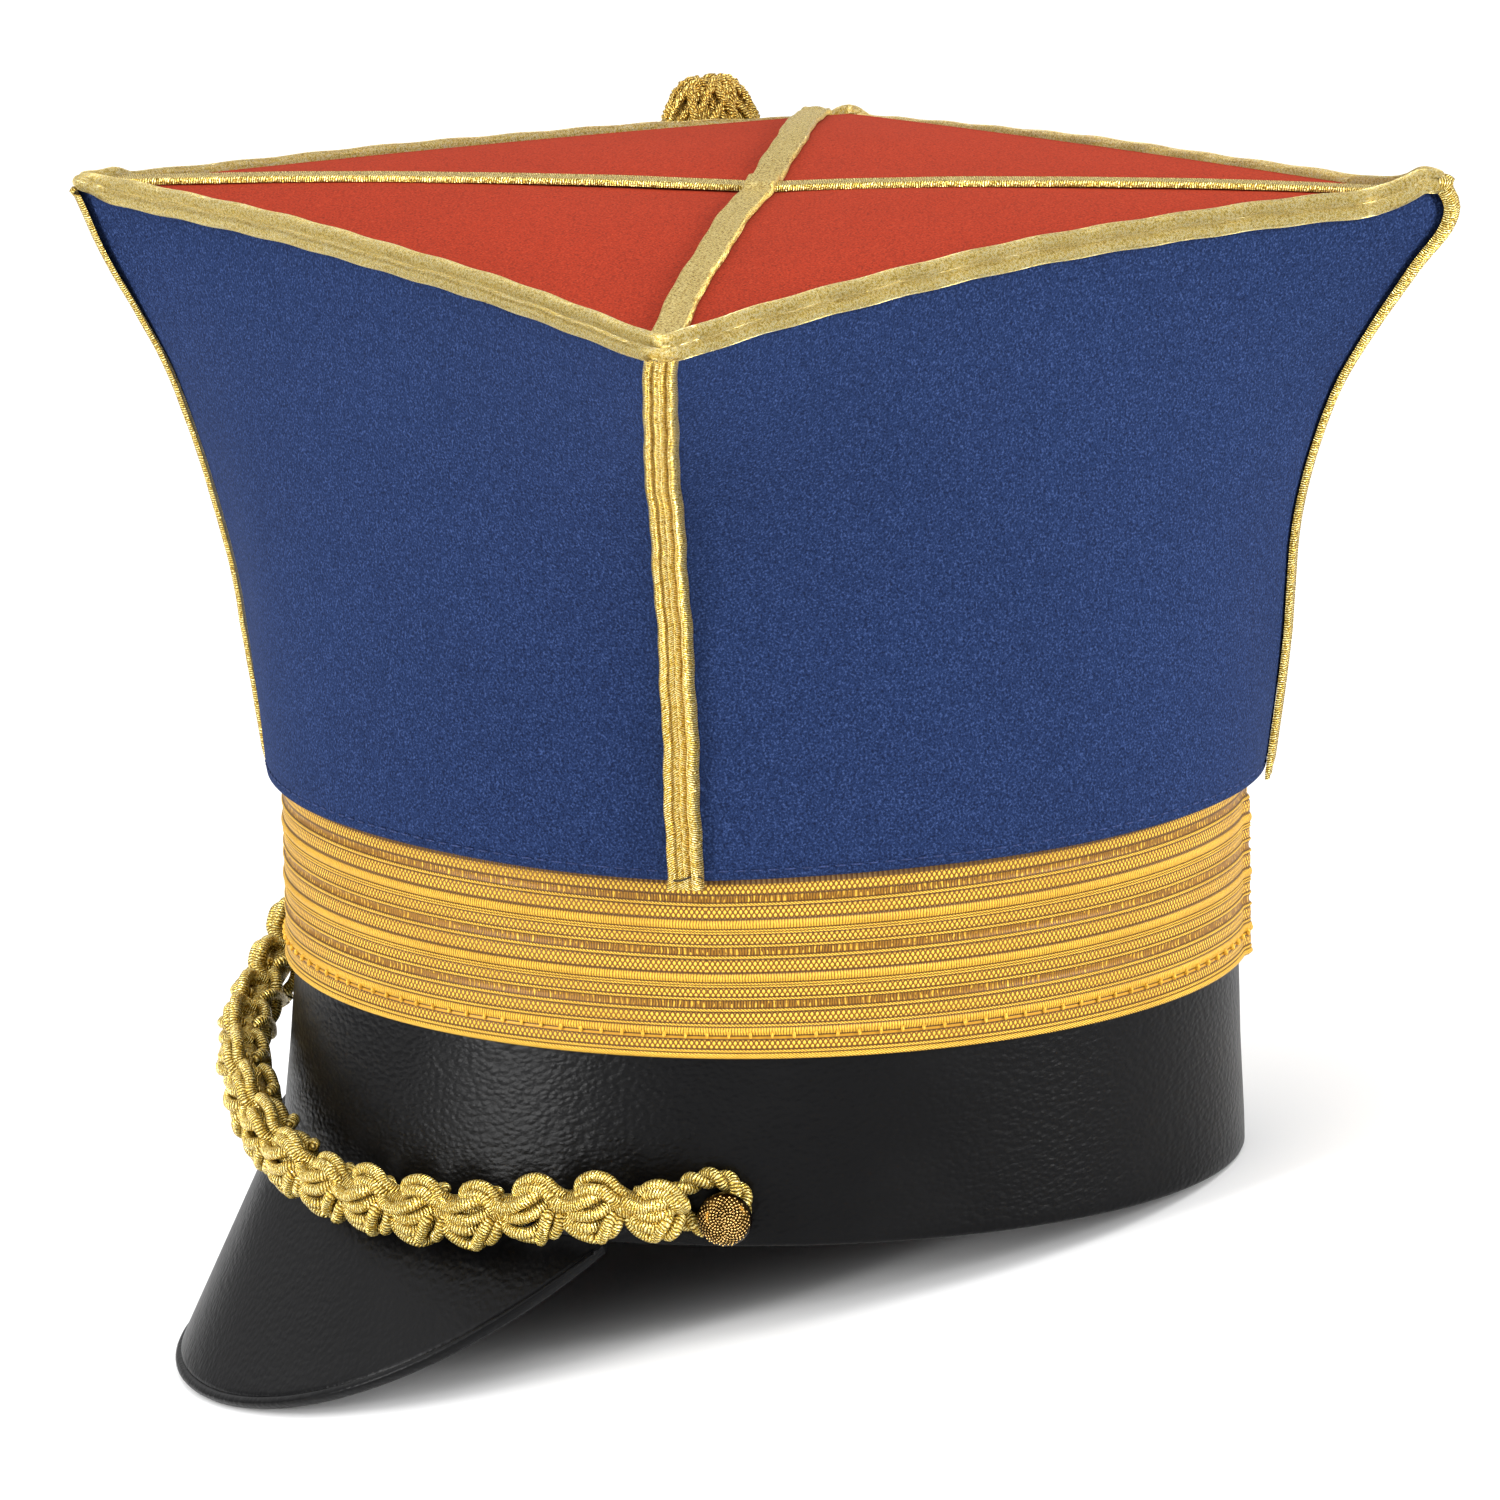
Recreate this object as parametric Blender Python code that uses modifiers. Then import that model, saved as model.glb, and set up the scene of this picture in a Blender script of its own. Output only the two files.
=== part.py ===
"""Square-topped lancer's cap with a leather band and peak, a gold galloon, blue sides, a red top and braids.

The cap is modelled in metres in its own upright frame: +X is the wearer's left, -Y the front and +Z up,
with the origin at the middle of the rim. The empty "rest_pose" then tips it back to the way it rests by
itself, on the edge of the peak and the back of the rim.
"""
import math

import bmesh
import bpy
import numpy as np
from mathutils import Matrix, Vector

# The headband: an oval of leather whose rim is flat
RIM_HALF_WIDTH = 0.0860
RIM_HALF_LENGTH = 0.1034
BAND_HEIGHT = 0.0920
BAND_WALL = 0.0030
BAND_TAPER = 0.0024
BAND_RAKE = 0.0014

# The woven galloon round the band
GALLOON_WALL = 0.0014
GALLOON_LOW = 0.0405
GALLOON_RISE = 0.0025
GALLOON_TUCK = 0.0050
GALLOON_SEAM_BULGE = 0.0012
GALLOON_SEAM_HALF_WIDTH = 0.0040

# The blue body, from an oval hem to a square top with a corner at the front
CLOTH_WALL = 0.0020
HEM_LOW = 0.0786
HEM_RISE = 0.0045
HEM_END_STAND = 0.0012
SIDE_SEAM_FORWARD = 0.0036
TOP_HALF_DIAGONAL = 0.1435
TOP_SHIFT_BACK = 0.0018
EDGE_HOLLOW = 0.0030
EDGE_ARCH = 0.0026
FRONT_CORNER_HEIGHT = 0.2045
BACK_CORNER_HEIGHT = 0.2035
SIDE_CORNER_HEIGHT = 0.1970

# The red top
TOP_WALL = 0.0020
TOP_CENTRE_HEIGHT = 0.2062
TOP_PUFF = 0.0016
TOP_INSET = 0.0002

# The gold braids
BRAID_WIDTH = 0.0068
BRAID_THICKNESS = 0.0026
EDGE_BRAID_HEIGHT = 0.0066
SEAM_BRAID_OVERHANG = 0.0015

# The peak
PEAK_LENGTH = 0.0543
PEAK_HALF_ANGLE = 78.5
PEAK_ROOT_HEIGHT = 0.0036
PEAK_LIP_HEIGHT = 0.0036
PEAK_SLOPE_FRONT = 65.2
PEAK_SLOPE_END = 38.0
PEAK_WALL = 0.0026
PEAK_LIP = 0.0010
PEAK_BEAD = 0.0005
PEAK_TAPER = 0.916
PEAK_BREADTH_POWER = 3.75
PEAK_END_SHARE = 0.995

# The chin cord with its button, knot and hook
CORD_DIAMETER = 0.0135
BUTTON_RADIUS = 0.00575
BUTTON_DOME = 0.0034
BUTTON_ANGLE = 2.5
BUTTON_HEIGHT = 0.0074
BUTTON_STANDOFF = 0.0052
SHANK_RADIUS = 0.0013
KNOT_WIDTH = 0.0250
KNOT_DEPTH = 0.0120
KNOT_HEIGHT = 0.0240
KNOT_EDGE_SHARE = 0.165
KNOT_DROP = 0.0020
HOOK_RADIUS = 0.0018
HOOK_DROP = 0.0075

# Fit
GAP = 0.0003
HEM_CLEARANCE = 0.0008

# Fineness of the meshes
OVAL_STEPS = 60
PANEL_COLUMNS = 13
PANEL_ROWS = 12
TOP_RINGS = 5
PEAK_COLUMNS = 33
PEAK_ROWS = 6
TURN_STEPS = 20
CORD_SPACING = 0.012
FINE_SAMPLES = 400

OVAL_POWER = 2.0
DOME_POWER = 1.7
CORNER_SLANT = 1.3

# height share of the body, flare share from hem to corner, squareness share from oval to square,
# share of the top's backward shift, share of the side seams' forward shift
BODY_SECTIONS = (
    (0.00, 0.00, 0.00, 0.33, 1.00),
    (0.15, 0.04, 0.08, 0.33, 1.00),
    (0.30, 0.08, 0.16, 0.15, 0.90),
    (0.45, 0.16, 0.29, -0.50, 0.60),
    (0.60, 0.30, 0.45, -0.67, 0.45),
    (0.70, 0.43, 0.58, -0.53, 0.40),
    (0.80, 0.62, 0.74, -0.20, 0.30),
    (0.90, 0.83, 0.90, 0.33, 0.15),
    (1.00, 1.00, 1.00, 1.00, 0.00),
)

# panel's name, its side, its end, its top edge's share of the arch
PANELS = (
    ("front_left_panel", 1, -1, 0.9),
    ("front_right_panel", -1, -1, 0.5),
    ("back_left_panel", 1, 1, 1.9),
    ("back_right_panel", -1, 1, 0.5),
)

# height share of the band, taper share of the half length, rake share of the forward shift
BAND_SECTIONS = (
    (0.00, 0.0, 1.0),
    (0.05, 0.0, 1.0),
    (0.25, 0.6, 0.5),
    (0.45, 1.0, 0.0),
    (0.72, 1.0, 0.0),
    (1.00, 1.0, 0.0),
)

# side share of the half width, lift share of the thickness: two rolls with a groove between
BRAID_PROFILE = (
    (-1.00, 0.40),
    (-0.60, 1.00),
    (0.00, 0.80),
    (0.60, 1.00),
    (1.00, 0.40),
)

# outward share and upward share of the braid's height, round the outside of the two edge rolls
EDGE_OUTSIDE = (
    (-0.40, 0.16),
    (-0.30, 0.36),
    (-0.08, 0.46),
    (0.20, 0.42),
    (0.38, 0.22),
    (0.38, 0.06),
    (0.44, -0.04),
    (0.50, -0.20),
    (0.42, -0.42),
    (0.20, -0.52),
)

# the same round the inside, which lies on the red top and then on the blue side
EDGE_INSIDE_SHARES = (-0.36, -0.26, -0.16, -0.06)

# The chin cord's middle line, from the button round the front and up the right side to the knot
CORD_ROUTE = (
    (0.0948, -0.0042, 0.0095),
    (0.0944, -0.0110, 0.0104),
    (0.0931, -0.0222, 0.0106),
    (0.0897, -0.0370, 0.0092),
    (0.0845, -0.0508, 0.0084),
    (0.0767, -0.0665, 0.0083),
    (0.0671, -0.0797, 0.0093),
    (0.0563, -0.0903, 0.0112),
    (0.0440, -0.0988, 0.0143),
    (0.0310, -0.1049, 0.0183),
    (0.0170, -0.1090, 0.0221),
    (0.0030, -0.1107, 0.0256),
    (-0.0115, -0.1102, 0.0297),
    (-0.0255, -0.1078, 0.0355),
    (-0.0385, -0.1040, 0.0440),
    (-0.0505, -0.0982, 0.0550),
    (-0.0615, -0.0905, 0.0680),
    (-0.0715, -0.0812, 0.0830),
    (-0.0810, -0.0708, 0.1000),
    (-0.0905, -0.0600, 0.1180),
    (-0.1000, -0.0500, 0.1360),
    (-0.1083, -0.0415, 0.1540),
    (-0.1166, -0.0339, 0.1700),
    (-0.1243, -0.0284, 0.1820),
)

COLOURS = {
    # material: sRGB red, green, blue, roughness, metallic
    "black_leather": (0.11, 0.11, 0.11, 0.45, 0.0),
    "gold_galloon": (0.85, 0.65, 0.17, 0.45, 0.3),
    "gold_braid": (0.80, 0.68, 0.28, 0.35, 0.7),
    "gold_cord": (0.80, 0.66, 0.25, 0.35, 0.7),
    "blue_cloth": (0.15, 0.25, 0.48, 0.95, 0.0),
    "red_cloth": (0.78, 0.25, 0.18, 0.95, 0.0),
    "brass": (0.72, 0.56, 0.30, 0.35, 1.0),
}

ARCHES = {(side, end): arch for _, side, end, arch in PANELS}
COLLECTION = "lancer_cap"
CORD_NODES = ("chin_cord", "cord_knot")


def clear_scene():
    """Remove what the opened file holds."""
    for item in list(bpy.data.objects):
        bpy.data.objects.remove(item, do_unlink=True)


def make_materials():
    """Make one Principled material for each finish."""
    made = {}
    for name, (red, green, blue, roughness, metallic) in COLOURS.items():
        material = bpy.data.materials.new(name)
        material.use_nodes = True
        shader = material.node_tree.nodes["Principled BSDF"]
        linear = [channel ** 2.2 for channel in (red, green, blue)]
        shader.inputs["Base Color"].default_value = (*linear, 1.0)
        shader.inputs["Roughness"].default_value = roughness
        shader.inputs["Metallic"].default_value = metallic
        made[name] = material
    return made


class Shop:
    """Places each finished piece in the collection, under the rest pose's empty."""

    def __init__(self):
        self.collection = bpy.data.collections.new(COLLECTION)
        bpy.context.scene.collection.children.link(self.collection)
        self.materials = make_materials()
        self.rest_pose = bpy.data.objects.new("rest_pose", None)
        self.collection.objects.link(self.rest_pose)

    def place(self, name, data, material, smooth_angle=40.0):
        """Make an object of a mesh or curve, give it its material and parent it."""
        piece = bpy.data.objects.new(name, data)
        data.materials.append(self.materials[material])
        self.collection.objects.link(piece)
        piece.parent = self.rest_pose
        if piece.type == "MESH":
            data.shade_smooth()
            data.set_sharp_from_angle(angle=math.radians(smooth_angle))
        return piece


def blend(low, high, share):
    """Return the value a share of the way from low to high."""
    return low + (high - low) * share


def smooth_column(rows, column, at):
    """Read a column of a table at a height share, on a smooth curve through its rows."""
    table = np.array(rows)
    heights = table[:, 0]
    values = table[:, column]
    slopes = np.gradient(values, heights)
    place = min(max(at, heights[0]), heights[-1])
    row = min(int(np.searchsorted(heights, place, side="right")) - 1, len(heights) - 2)
    span = heights[row + 1] - heights[row]
    t = (place - heights[row]) / span
    rise = values[row + 1] - values[row]
    start, end = slopes[row] * span, slopes[row + 1] * span
    return values[row] + t * (start + t * (3 * rise - 2 * start - end + t * (start + end - 2 * rise)))


def band_shape(height):
    """Return the band's outer half width, half length and middle at a height."""
    rows = np.array(BAND_SECTIONS)
    share = height / BAND_HEIGHT
    taper = float(np.interp(share, rows[:, 0], rows[:, 1]))
    rake = float(np.interp(share, rows[:, 0], rows[:, 2]))
    return RIM_HALF_WIDTH, RIM_HALF_LENGTH - BAND_TAPER * taper, -BAND_RAKE * rake


def hem_half_sizes():
    """Return the half width and half length of the blue hem, outside the galloon."""
    half_width, half_length, _ = band_shape(HEM_LOW)
    outward = GAP + GALLOON_WALL + HEM_CLEARANCE + CLOTH_WALL
    return half_width + outward, half_length + outward + HEM_END_STAND


def body_shape(share):
    """Return the body's half width, half length, middle and outline power at a height share."""
    hem_x, hem_y = hem_half_sizes()
    flare = smooth_column(BODY_SECTIONS, 1, share)
    squareness = smooth_column(BODY_SECTIONS, 2, share)
    oval_fullness = 0.5 ** (1 / OVAL_POWER)
    top_fullness = 0.5 - EDGE_HOLLOW / (math.sqrt(2) * TOP_HALF_DIAGONAL)
    fullness = blend(oval_fullness, top_fullness, squareness)
    power = math.log(0.5) / math.log(fullness)
    half_x = blend(hem_x, TOP_HALF_DIAGONAL, flare)
    half_y = blend(hem_y, TOP_HALF_DIAGONAL, flare)
    return half_x, half_y, TOP_SHIFT_BACK * smooth_column(BODY_SECTIONS, 3, share), power


def body_place(x, y, share):
    """Move a point of the outline to its place in the cap, with the side seams a little forward."""
    half_x, _, middle, _ = body_shape(share)
    forward = SIDE_SEAM_FORWARD * smooth_column(BODY_SECTIONS, 4, share)
    return x, middle + y - forward * (x / half_x) ** 8


def fine_quarter(share, inset=0.0, seam=0.0):
    """Trace a quarter of the body's outline from the side seam to the front or back seam.

    The outline is moved inwards by inset and stops a distance seam before each seam's plane.
    """
    half_x, half_y, _, power = body_shape(share)
    angle = np.linspace(0.0, math.pi / 2, FINE_SAMPLES)
    x = half_x * np.cos(angle) ** (2 / power)
    y = half_y * np.sin(angle) ** (2 / power)
    along_x, along_y = np.gradient(x), np.gradient(y)
    length = np.hypot(along_x, along_y)
    x = x - along_y / length * inset
    y = y + along_x / length * inset
    keep = (x > seam) & (y > seam)
    inner_x, inner_y = x[keep], y[keep]
    first, last = np.argmax(keep), len(keep) - 1 - np.argmax(keep[::-1])
    start_x = inner_x[0] if first == 0 else np.interp(seam, y[first - 1:first + 1], x[first - 1:first + 1])
    end_y = inner_y[-1]
    if last < len(keep) - 1:
        end_y = np.interp(-seam, -x[last:last + 2], y[last:last + 2])
    x = np.concatenate(([start_x], inner_x, [seam]))
    y = np.concatenate(([seam], inner_y, [end_y]))
    return x, y


def even_points(x, y, count):
    """Return count points spaced evenly along a traced line."""
    steps = np.hypot(np.diff(x), np.diff(y))
    run = np.concatenate(([0.0], np.cumsum(steps)))
    wanted = np.linspace(0.0, run[-1], count)
    return np.interp(wanted, run, x), np.interp(wanted, run, y)


def end_share(x, y, share):
    """Return how far a point lies from the side seam, 0, towards the front or back seam, 1."""
    half_x, half_y, _, power = body_shape(share)
    to_side = (np.abs(x) / half_x) ** power
    to_end = (np.abs(y) / half_y) ** power
    return to_end / (to_side + to_end)


def edge_height(to_end, side, end):
    """Return the height of a blue panel's top edge, from its side corner, 0, to its end corner, 1."""
    corner = BACK_CORNER_HEIGHT if end > 0 else FRONT_CORNER_HEIGHT
    arch = 4 * EDGE_ARCH * ARCHES[(side, end)] * to_end * (1 - to_end)
    return blend(SIDE_CORNER_HEIGHT, corner, to_end) + arch


def hem_height(to_end):
    """Return the height of the blue hem, which is lowest at the sides."""
    return HEM_LOW + HEM_RISE * to_end ** 0.6


def body_height(to_end, share, side, end):
    """Return the height of a point of the body at a height share."""
    low = hem_height(to_end)
    return low + share * (edge_height(to_end, side, end) - low)


def top_height(x, y):
    """Return the height of the red top's outer face."""
    half_x, half_y, middle, power = body_shape(1.0)
    to_side = (abs(x) / half_x) ** power
    to_end = (abs(y - middle) / half_y) ** power
    total = to_side + to_end
    if total < 1e-9:
        return TOP_CENTRE_HEIGHT
    reach = min(total ** (1 / power), 1.0)
    side, end = (1 if x >= 0 else -1), (1 if y >= middle else -1)
    edge = edge_height(to_end / total, side, end) + GAP + TOP_WALL
    dome = (TOP_CENTRE_HEIGHT - edge) * (1 - reach ** DOME_POWER)
    return edge + dome + 4 * TOP_PUFF * reach * (1 - reach)


def solid_between(name, outer, inner, ring=False):
    """Loft a closed solid between two faces given as rows of points.

    With ring, the last row joins the first, as round the top's four edges.
    """
    shape = bmesh.new()
    sides = []
    for grid in (outer, inner):
        sides.append([[shape.verts.new(point) for point in row] for row in grid])
    rows, columns = len(outer), len(outer[0])
    row_pairs = [(row, row + 1) for row in range(rows - 1)]
    if ring:
        row_pairs.append((rows - 1, 0))
    for side in sides:
        for low, high in row_pairs:
            for column in range(columns - 1):
                corners = (side[low][column], side[low][column + 1])
                shape.faces.new(corners + (side[high][column + 1], side[high][column]))
    front, back = sides
    for column in (0, columns - 1):
        for low, high in row_pairs:
            corners = (front[low][column], front[high][column])
            shape.faces.new(corners + (back[high][column], back[low][column]))
    if not ring:
        for row in (0, rows - 1):
            for column in range(columns - 1):
                corners = (front[row][column], front[row][column + 1])
                shape.faces.new(corners + (back[row][column + 1], back[row][column]))
    bmesh.ops.recalc_face_normals(shape, faces=shape.faces)
    mesh = bpy.data.meshes.new(name)
    shape.to_mesh(mesh)
    shape.free()
    return mesh


def ring_surface(name, rings):
    """Skin an open surface over closed rings of points."""
    shape = bmesh.new()
    made = [[shape.verts.new(point) for point in ring] for ring in rings]
    count = len(made[0])
    for low, high in zip(made, made[1:]):
        for place in range(count):
            following = (place + 1) % count
            shape.faces.new((low[place], low[following], high[following], high[place]))
    mesh = bpy.data.meshes.new(name)
    shape.to_mesh(mesh)
    shape.free()
    return mesh


def thicken(piece, wall):
    """Give an open surface its wall, inwards from the outer face."""
    modifier = piece.modifiers.new("wall", "SOLIDIFY")
    modifier.thickness = wall
    modifier.offset = -1.0
    modifier.use_even_offset = True


def oval_ring(half_x, half_y, middle, heights, angles):
    """Return a ring of points round an oval, with a height for each angle."""
    return [
        (half_x * math.cos(angle), middle + half_y * math.sin(angle), height)
        for angle, height in zip(angles, heights)
    ]


def make_headband(shop):
    """The leather band: an oval tube, open at both ends."""
    angles = np.linspace(0.0, 2 * math.pi, OVAL_STEPS, endpoint=False)
    rings = []
    for height_share, _, _ in BAND_SECTIONS:
        height = height_share * BAND_HEIGHT
        half_x, half_y, middle = band_shape(height)
        rings.append(oval_ring(half_x, half_y, middle, [height] * OVAL_STEPS, angles))
    piece = shop.place("leather_headband", ring_surface("leather_headband", rings), "black_leather")
    thicken(piece, BAND_WALL)
    return piece


def make_galloon(shop):
    """The woven band, which is tucked under the blue hem and joined at the back in a raised seam."""
    even = np.linspace(0.0, 2 * math.pi, OVAL_STEPS, endpoint=False)
    half_turn = GALLOON_SEAM_HALF_WIDTH / RIM_HALF_WIDTH
    at_seam = math.pi / 2 + half_turn * np.linspace(-1.0, 1.0, 7)
    clear = np.abs(even - math.pi / 2) > half_turn * 1.3
    angles = np.sort(np.concatenate((even[clear], at_seam)))
    rings = []
    for share in (0.0, 0.5, 1.0):
        ring = []
        for angle in angles:
            end = math.sin(angle) ** 2
            low = GALLOON_LOW + GALLOON_RISE * end
            height = blend(low, hem_height(end) + GALLOON_TUCK, share)
            half_x, half_y, middle = band_shape(height)
            off_seam = abs(angle - math.pi / 2) / half_turn
            swell = math.cos(off_seam * math.pi / 2) ** 2 if off_seam < 1 else 0.0
            under_hem = 0.0 if share == 1.0 else 1.0
            outward = GAP + GALLOON_WALL + GALLOON_SEAM_BULGE * swell * under_hem
            across = (half_x + outward) * math.cos(angle)
            ring.append((across, middle + (half_y + outward) * math.sin(angle), height))
        rings.append(ring)
    piece = shop.place("galloon_band", ring_surface("galloon_band", rings), "gold_galloon")
    thicken(piece, GALLOON_WALL)
    return piece


def panel_face(side, end, inset):
    """Return the rows of points of one blue panel's outer or inner face."""
    rows = []
    for share in np.linspace(0.0, 1.0, PANEL_ROWS):
        x, y = even_points(*fine_quarter(share, inset, GAP / 2), PANEL_COLUMNS)
        height = body_height(end_share(x, y, share), share, side, end)
        rows.append([(*body_place(side * px, end * py, share), pz) for px, py, pz in zip(x, y, height)])
    return rows


def make_panel(shop, name, side, end):
    """One of the four blue panels, from a side seam to the front or back seam."""
    mesh = solid_between(name, panel_face(side, end, 0.0), panel_face(side, end, CLOTH_WALL))
    return shop.place(name, mesh, "blue_cloth")


def top_outline(count):
    """Trace the square top's outline as quarters, from each side corner to the front and back."""
    x, y = even_points(*fine_quarter(1.0), count)
    middle = body_shape(1.0)[2]
    turned = []
    for side, end, backwards in ((1, 1, False), (-1, 1, True), (-1, -1, False), (1, -1, True)):
        quarter = [(side * px, middle + end * py) for px, py in zip(x, y)]
        if backwards:
            quarter.reverse()
        turned.extend(quarter[:-1])
    return turned


def make_top(shop):
    """The red top, a domed square sheet that lies on the panels' upper edges."""
    outline = top_outline(PANEL_COLUMNS)
    middle = body_shape(1.0)[2]
    outermost = 1 - TOP_INSET / TOP_HALF_DIAGONAL
    rings = []
    for reach in np.linspace(0.0, 1.0, TOP_RINGS + 1)[1:] * outermost:
        ring = []
        for x, y in outline:
            px, py = x * reach, middle + (y - middle) * reach
            ring.append((px, py, top_height(px, py)))
        rings.append(ring)
    rings.reverse()
    mesh = ring_surface("top_panel", rings)
    shape = bmesh.new()
    shape.from_mesh(mesh)
    shape.verts.ensure_lookup_table()
    hole = shape.verts[len(outline) * (len(rings) - 1):]
    peak = shape.verts.new((0.0, middle, top_height(0.0, middle)))
    for place, vertex in enumerate(hole):
        shape.faces.new((vertex, hole[(place + 1) % len(hole)], peak))
    shape.to_mesh(mesh)
    shape.free()
    piece = shop.place("top_panel", mesh, "red_cloth")
    thicken(piece, TOP_WALL)
    return piece


def edge_stations():
    """Return the edge braid's stations round the top: place, outward direction, and stretch at corners."""
    x, y = fine_quarter(1.0)
    run = np.concatenate(([0.0], np.cumsum(np.hypot(np.diff(x), np.diff(y)))))
    margin = EDGE_BRAID_HEIGHT * 0.6
    wanted = np.linspace(margin, run[-1] - margin, PANEL_COLUMNS)
    px, py = np.interp(wanted, run, x), np.interp(wanted, run, y)
    slope_x, slope_y = np.gradient(px), np.gradient(py)
    size = np.hypot(slope_x, slope_y)
    edge = [
        (bx, by, ny / norm, -nx / norm, False)
        for bx, by, nx, ny, norm in zip(px, py, slope_x, slope_y, size)
    ]
    side_tip = (x[0], 0.0, 1.0, 0.0, True)
    end_tip = (0.0, y[-1], 0.0, 1.0, True)
    quarter = [side_tip] + edge + [end_tip]
    stations = []
    for side, end, backwards in ((1, 1, False), (-1, 1, True), (-1, -1, False), (1, -1, True)):
        part = [(side * a, end * b, side * c, end * d, tip) for a, b, c, d, tip in quarter]
        if backwards:
            part.reverse()
        stations.extend(part[:-1])
    return stations


def make_edge_braid(shop):
    """The braid of two rolls round the top, half on the red and half on the blue."""
    middle = body_shape(1.0)[2]
    outer, inner = [], []
    for x, y, out_x, out_y, tip in edge_stations():
        edge_z = top_height(x, middle + y)

        def point(outward, upward, follow):
            stretch = 1.0
            if tip:
                stretch = math.sqrt(2) if outward < 0 else 1.15
            px = x + out_x * outward * stretch
            py = middle + y + out_y * outward * stretch
            base = top_height(px, py) if follow else edge_z
            return px, py, base + upward

        height = EDGE_BRAID_HEIGHT
        outer.append([point(out * height, up * height, out < 0) for out, up in EDGE_OUTSIDE])
        on_top = [point(share * height, GAP, True) for share in EDGE_INSIDE_SHARES]
        low = EDGE_OUTSIDE[-1][1] * height
        down_side = [point(GAP, GAP, False)]
        for share in np.linspace(0.0, 1.0, len(EDGE_OUTSIDE) - len(on_top) - 1)[1:]:
            down_side.append(point(GAP, share * low, False))
        seat = point(GAP, low + GAP, False)
        inner.append(on_top + down_side + [seat])
    mesh = solid_between("top_edge_braid", outer, inner, ring=True)
    return shop.place("top_edge_braid", mesh, "gold_braid")


def near_seam(share, at_end, distance):
    """Find the body's outline a little way from a seam.

    Returns the place along the seam's axis, the place across it, and the outward direction as the same two.
    """
    x, y = fine_quarter(share)
    if at_end:
        x, y = y[::-1], x[::-1]
    run = np.concatenate(([0.0], np.cumsum(np.hypot(np.diff(x), np.diff(y)))))
    step = max(distance, 0.0)
    along, across = np.interp(step, run, x), np.interp(step, run, y)
    ahead = step + BRAID_WIDTH / 8
    slope_x = np.interp(ahead, run, x) - along
    slope_y = np.interp(ahead, run, y) - across
    size = math.hypot(slope_x, slope_y)
    return along, across, slope_y / size, -slope_x / size


def make_seam_braid(shop, name, side, end):
    """The braid that covers one seam of the body, from below the hem to under the edge braid."""
    at_end = side == 0
    span = edge_height(float(at_end), 1, end or 1) - hem_height(float(at_end))
    edge_cover = -EDGE_OUTSIDE[-1][1] * EDGE_BRAID_HEIGHT - TOP_WALL - GAP
    top_share = 1 - (edge_cover + 2 * GAP) / span
    low_share = -SEAM_BRAID_OVERHANG / span
    outer, inner = [], []
    for share in np.linspace(low_share, top_share, PANEL_ROWS):
        on_body = max(share, 0.0)
        step = 0.01
        reach_low = near_seam(max(on_body - step, 0.0), at_end, 0.0)[0]
        reach_here = near_seam(on_body, at_end, 0.0)[0]
        lean = (reach_here - reach_low) / (step * span)
        lift_full = BRAID_THICKNESS * math.sqrt(1 + min(lean, 1.5) ** 2)
        rows = [[], []]
        for across_share, lift_share in BRAID_PROFILE:
            distance = abs(across_share) * BRAID_WIDTH / 2
            along, across, out_along, out_across = near_seam(on_body, at_end, distance)
            sign = 1.0 if across_share >= 0 else -1.0
            mitre = 1.0
            if across_share == 0:
                mitre = min(1 / max(out_along, 0.5), 1.5)
                out_along, out_across = 1.0, 0.0
            for row, lift in zip(rows, (lift_share * lift_full, 0.0)):
                outward = GAP * mitre + lift
                a = along + out_along * outward
                c = sign * (across + out_across * outward)
                x, y = (c, end * a) if at_end else (side * a, c)
                panel = (1 if x >= 0 else -1, 1 if y >= 0 else -1)
                height = body_height(end_share_at(along, across, on_body, at_end), share, *panel)
                row.append((*body_place(x, y, on_body), height))
        outer.append(rows[0])
        inner.append(rows[1])
    return shop.place(name, solid_between(name, outer, inner), "gold_braid")


def end_share_at(along, across, share, at_end):
    """Return end_share for a place given along and across a seam's axis."""
    if at_end:
        return float(end_share(across, along, share))
    return float(end_share(along, across, share))


def make_top_braid(shop, name, crossing_over, along_x):
    """A braid over the red top, from corner to corner."""
    middle = body_shape(1.0)[2]
    half_width = BRAID_WIDTH / 2
    corner = -EDGE_OUTSIDE[0][0] * EDGE_BRAID_HEIGHT * math.sqrt(2) + 2 * GAP
    reach = TOP_HALF_DIAGONAL - corner
    hump = np.array((0.5, 0.9, 1.3, 1.9, 2.6, 3.4)) * BRAID_WIDTH
    open_run = np.linspace(hump[-1] * 1.3, reach - half_width * CORNER_SLANT * 1.05, 8)
    one_way = np.concatenate(([0.0], hump, open_run, [reach]))
    places = np.concatenate((-one_way[:0:-1], one_way))
    lift_over = BRAID_THICKNESS + GAP if crossing_over else 0.0
    outer, inner = [], []
    for place in places:
        rows = [[], []]
        for across_share, lift_share in BRAID_PROFILE:
            across = across_share * half_width
            limit = reach - CORNER_SLANT * abs(across)
            along = min(max(place, -limit), limit)
            x, y = (along, across) if along_x else (across, along)
            y += middle
            away = (abs(along) - BRAID_WIDTH * 0.5) / (BRAID_WIDTH * 1.4)
            share = min(max(away, 0.0), 1.0)
            over = lift_over * (1 - share * share * (3 - 2 * share))
            seat = top_height(x, y) + GAP + over
            rows[0].append((x, y, seat + lift_share * BRAID_THICKNESS))
            rows[1].append((x, y, seat))
        outer.append(rows[0])
        inner.append(rows[1])
    return shop.place(name, solid_between(name, outer, inner), "gold_braid")


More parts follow.
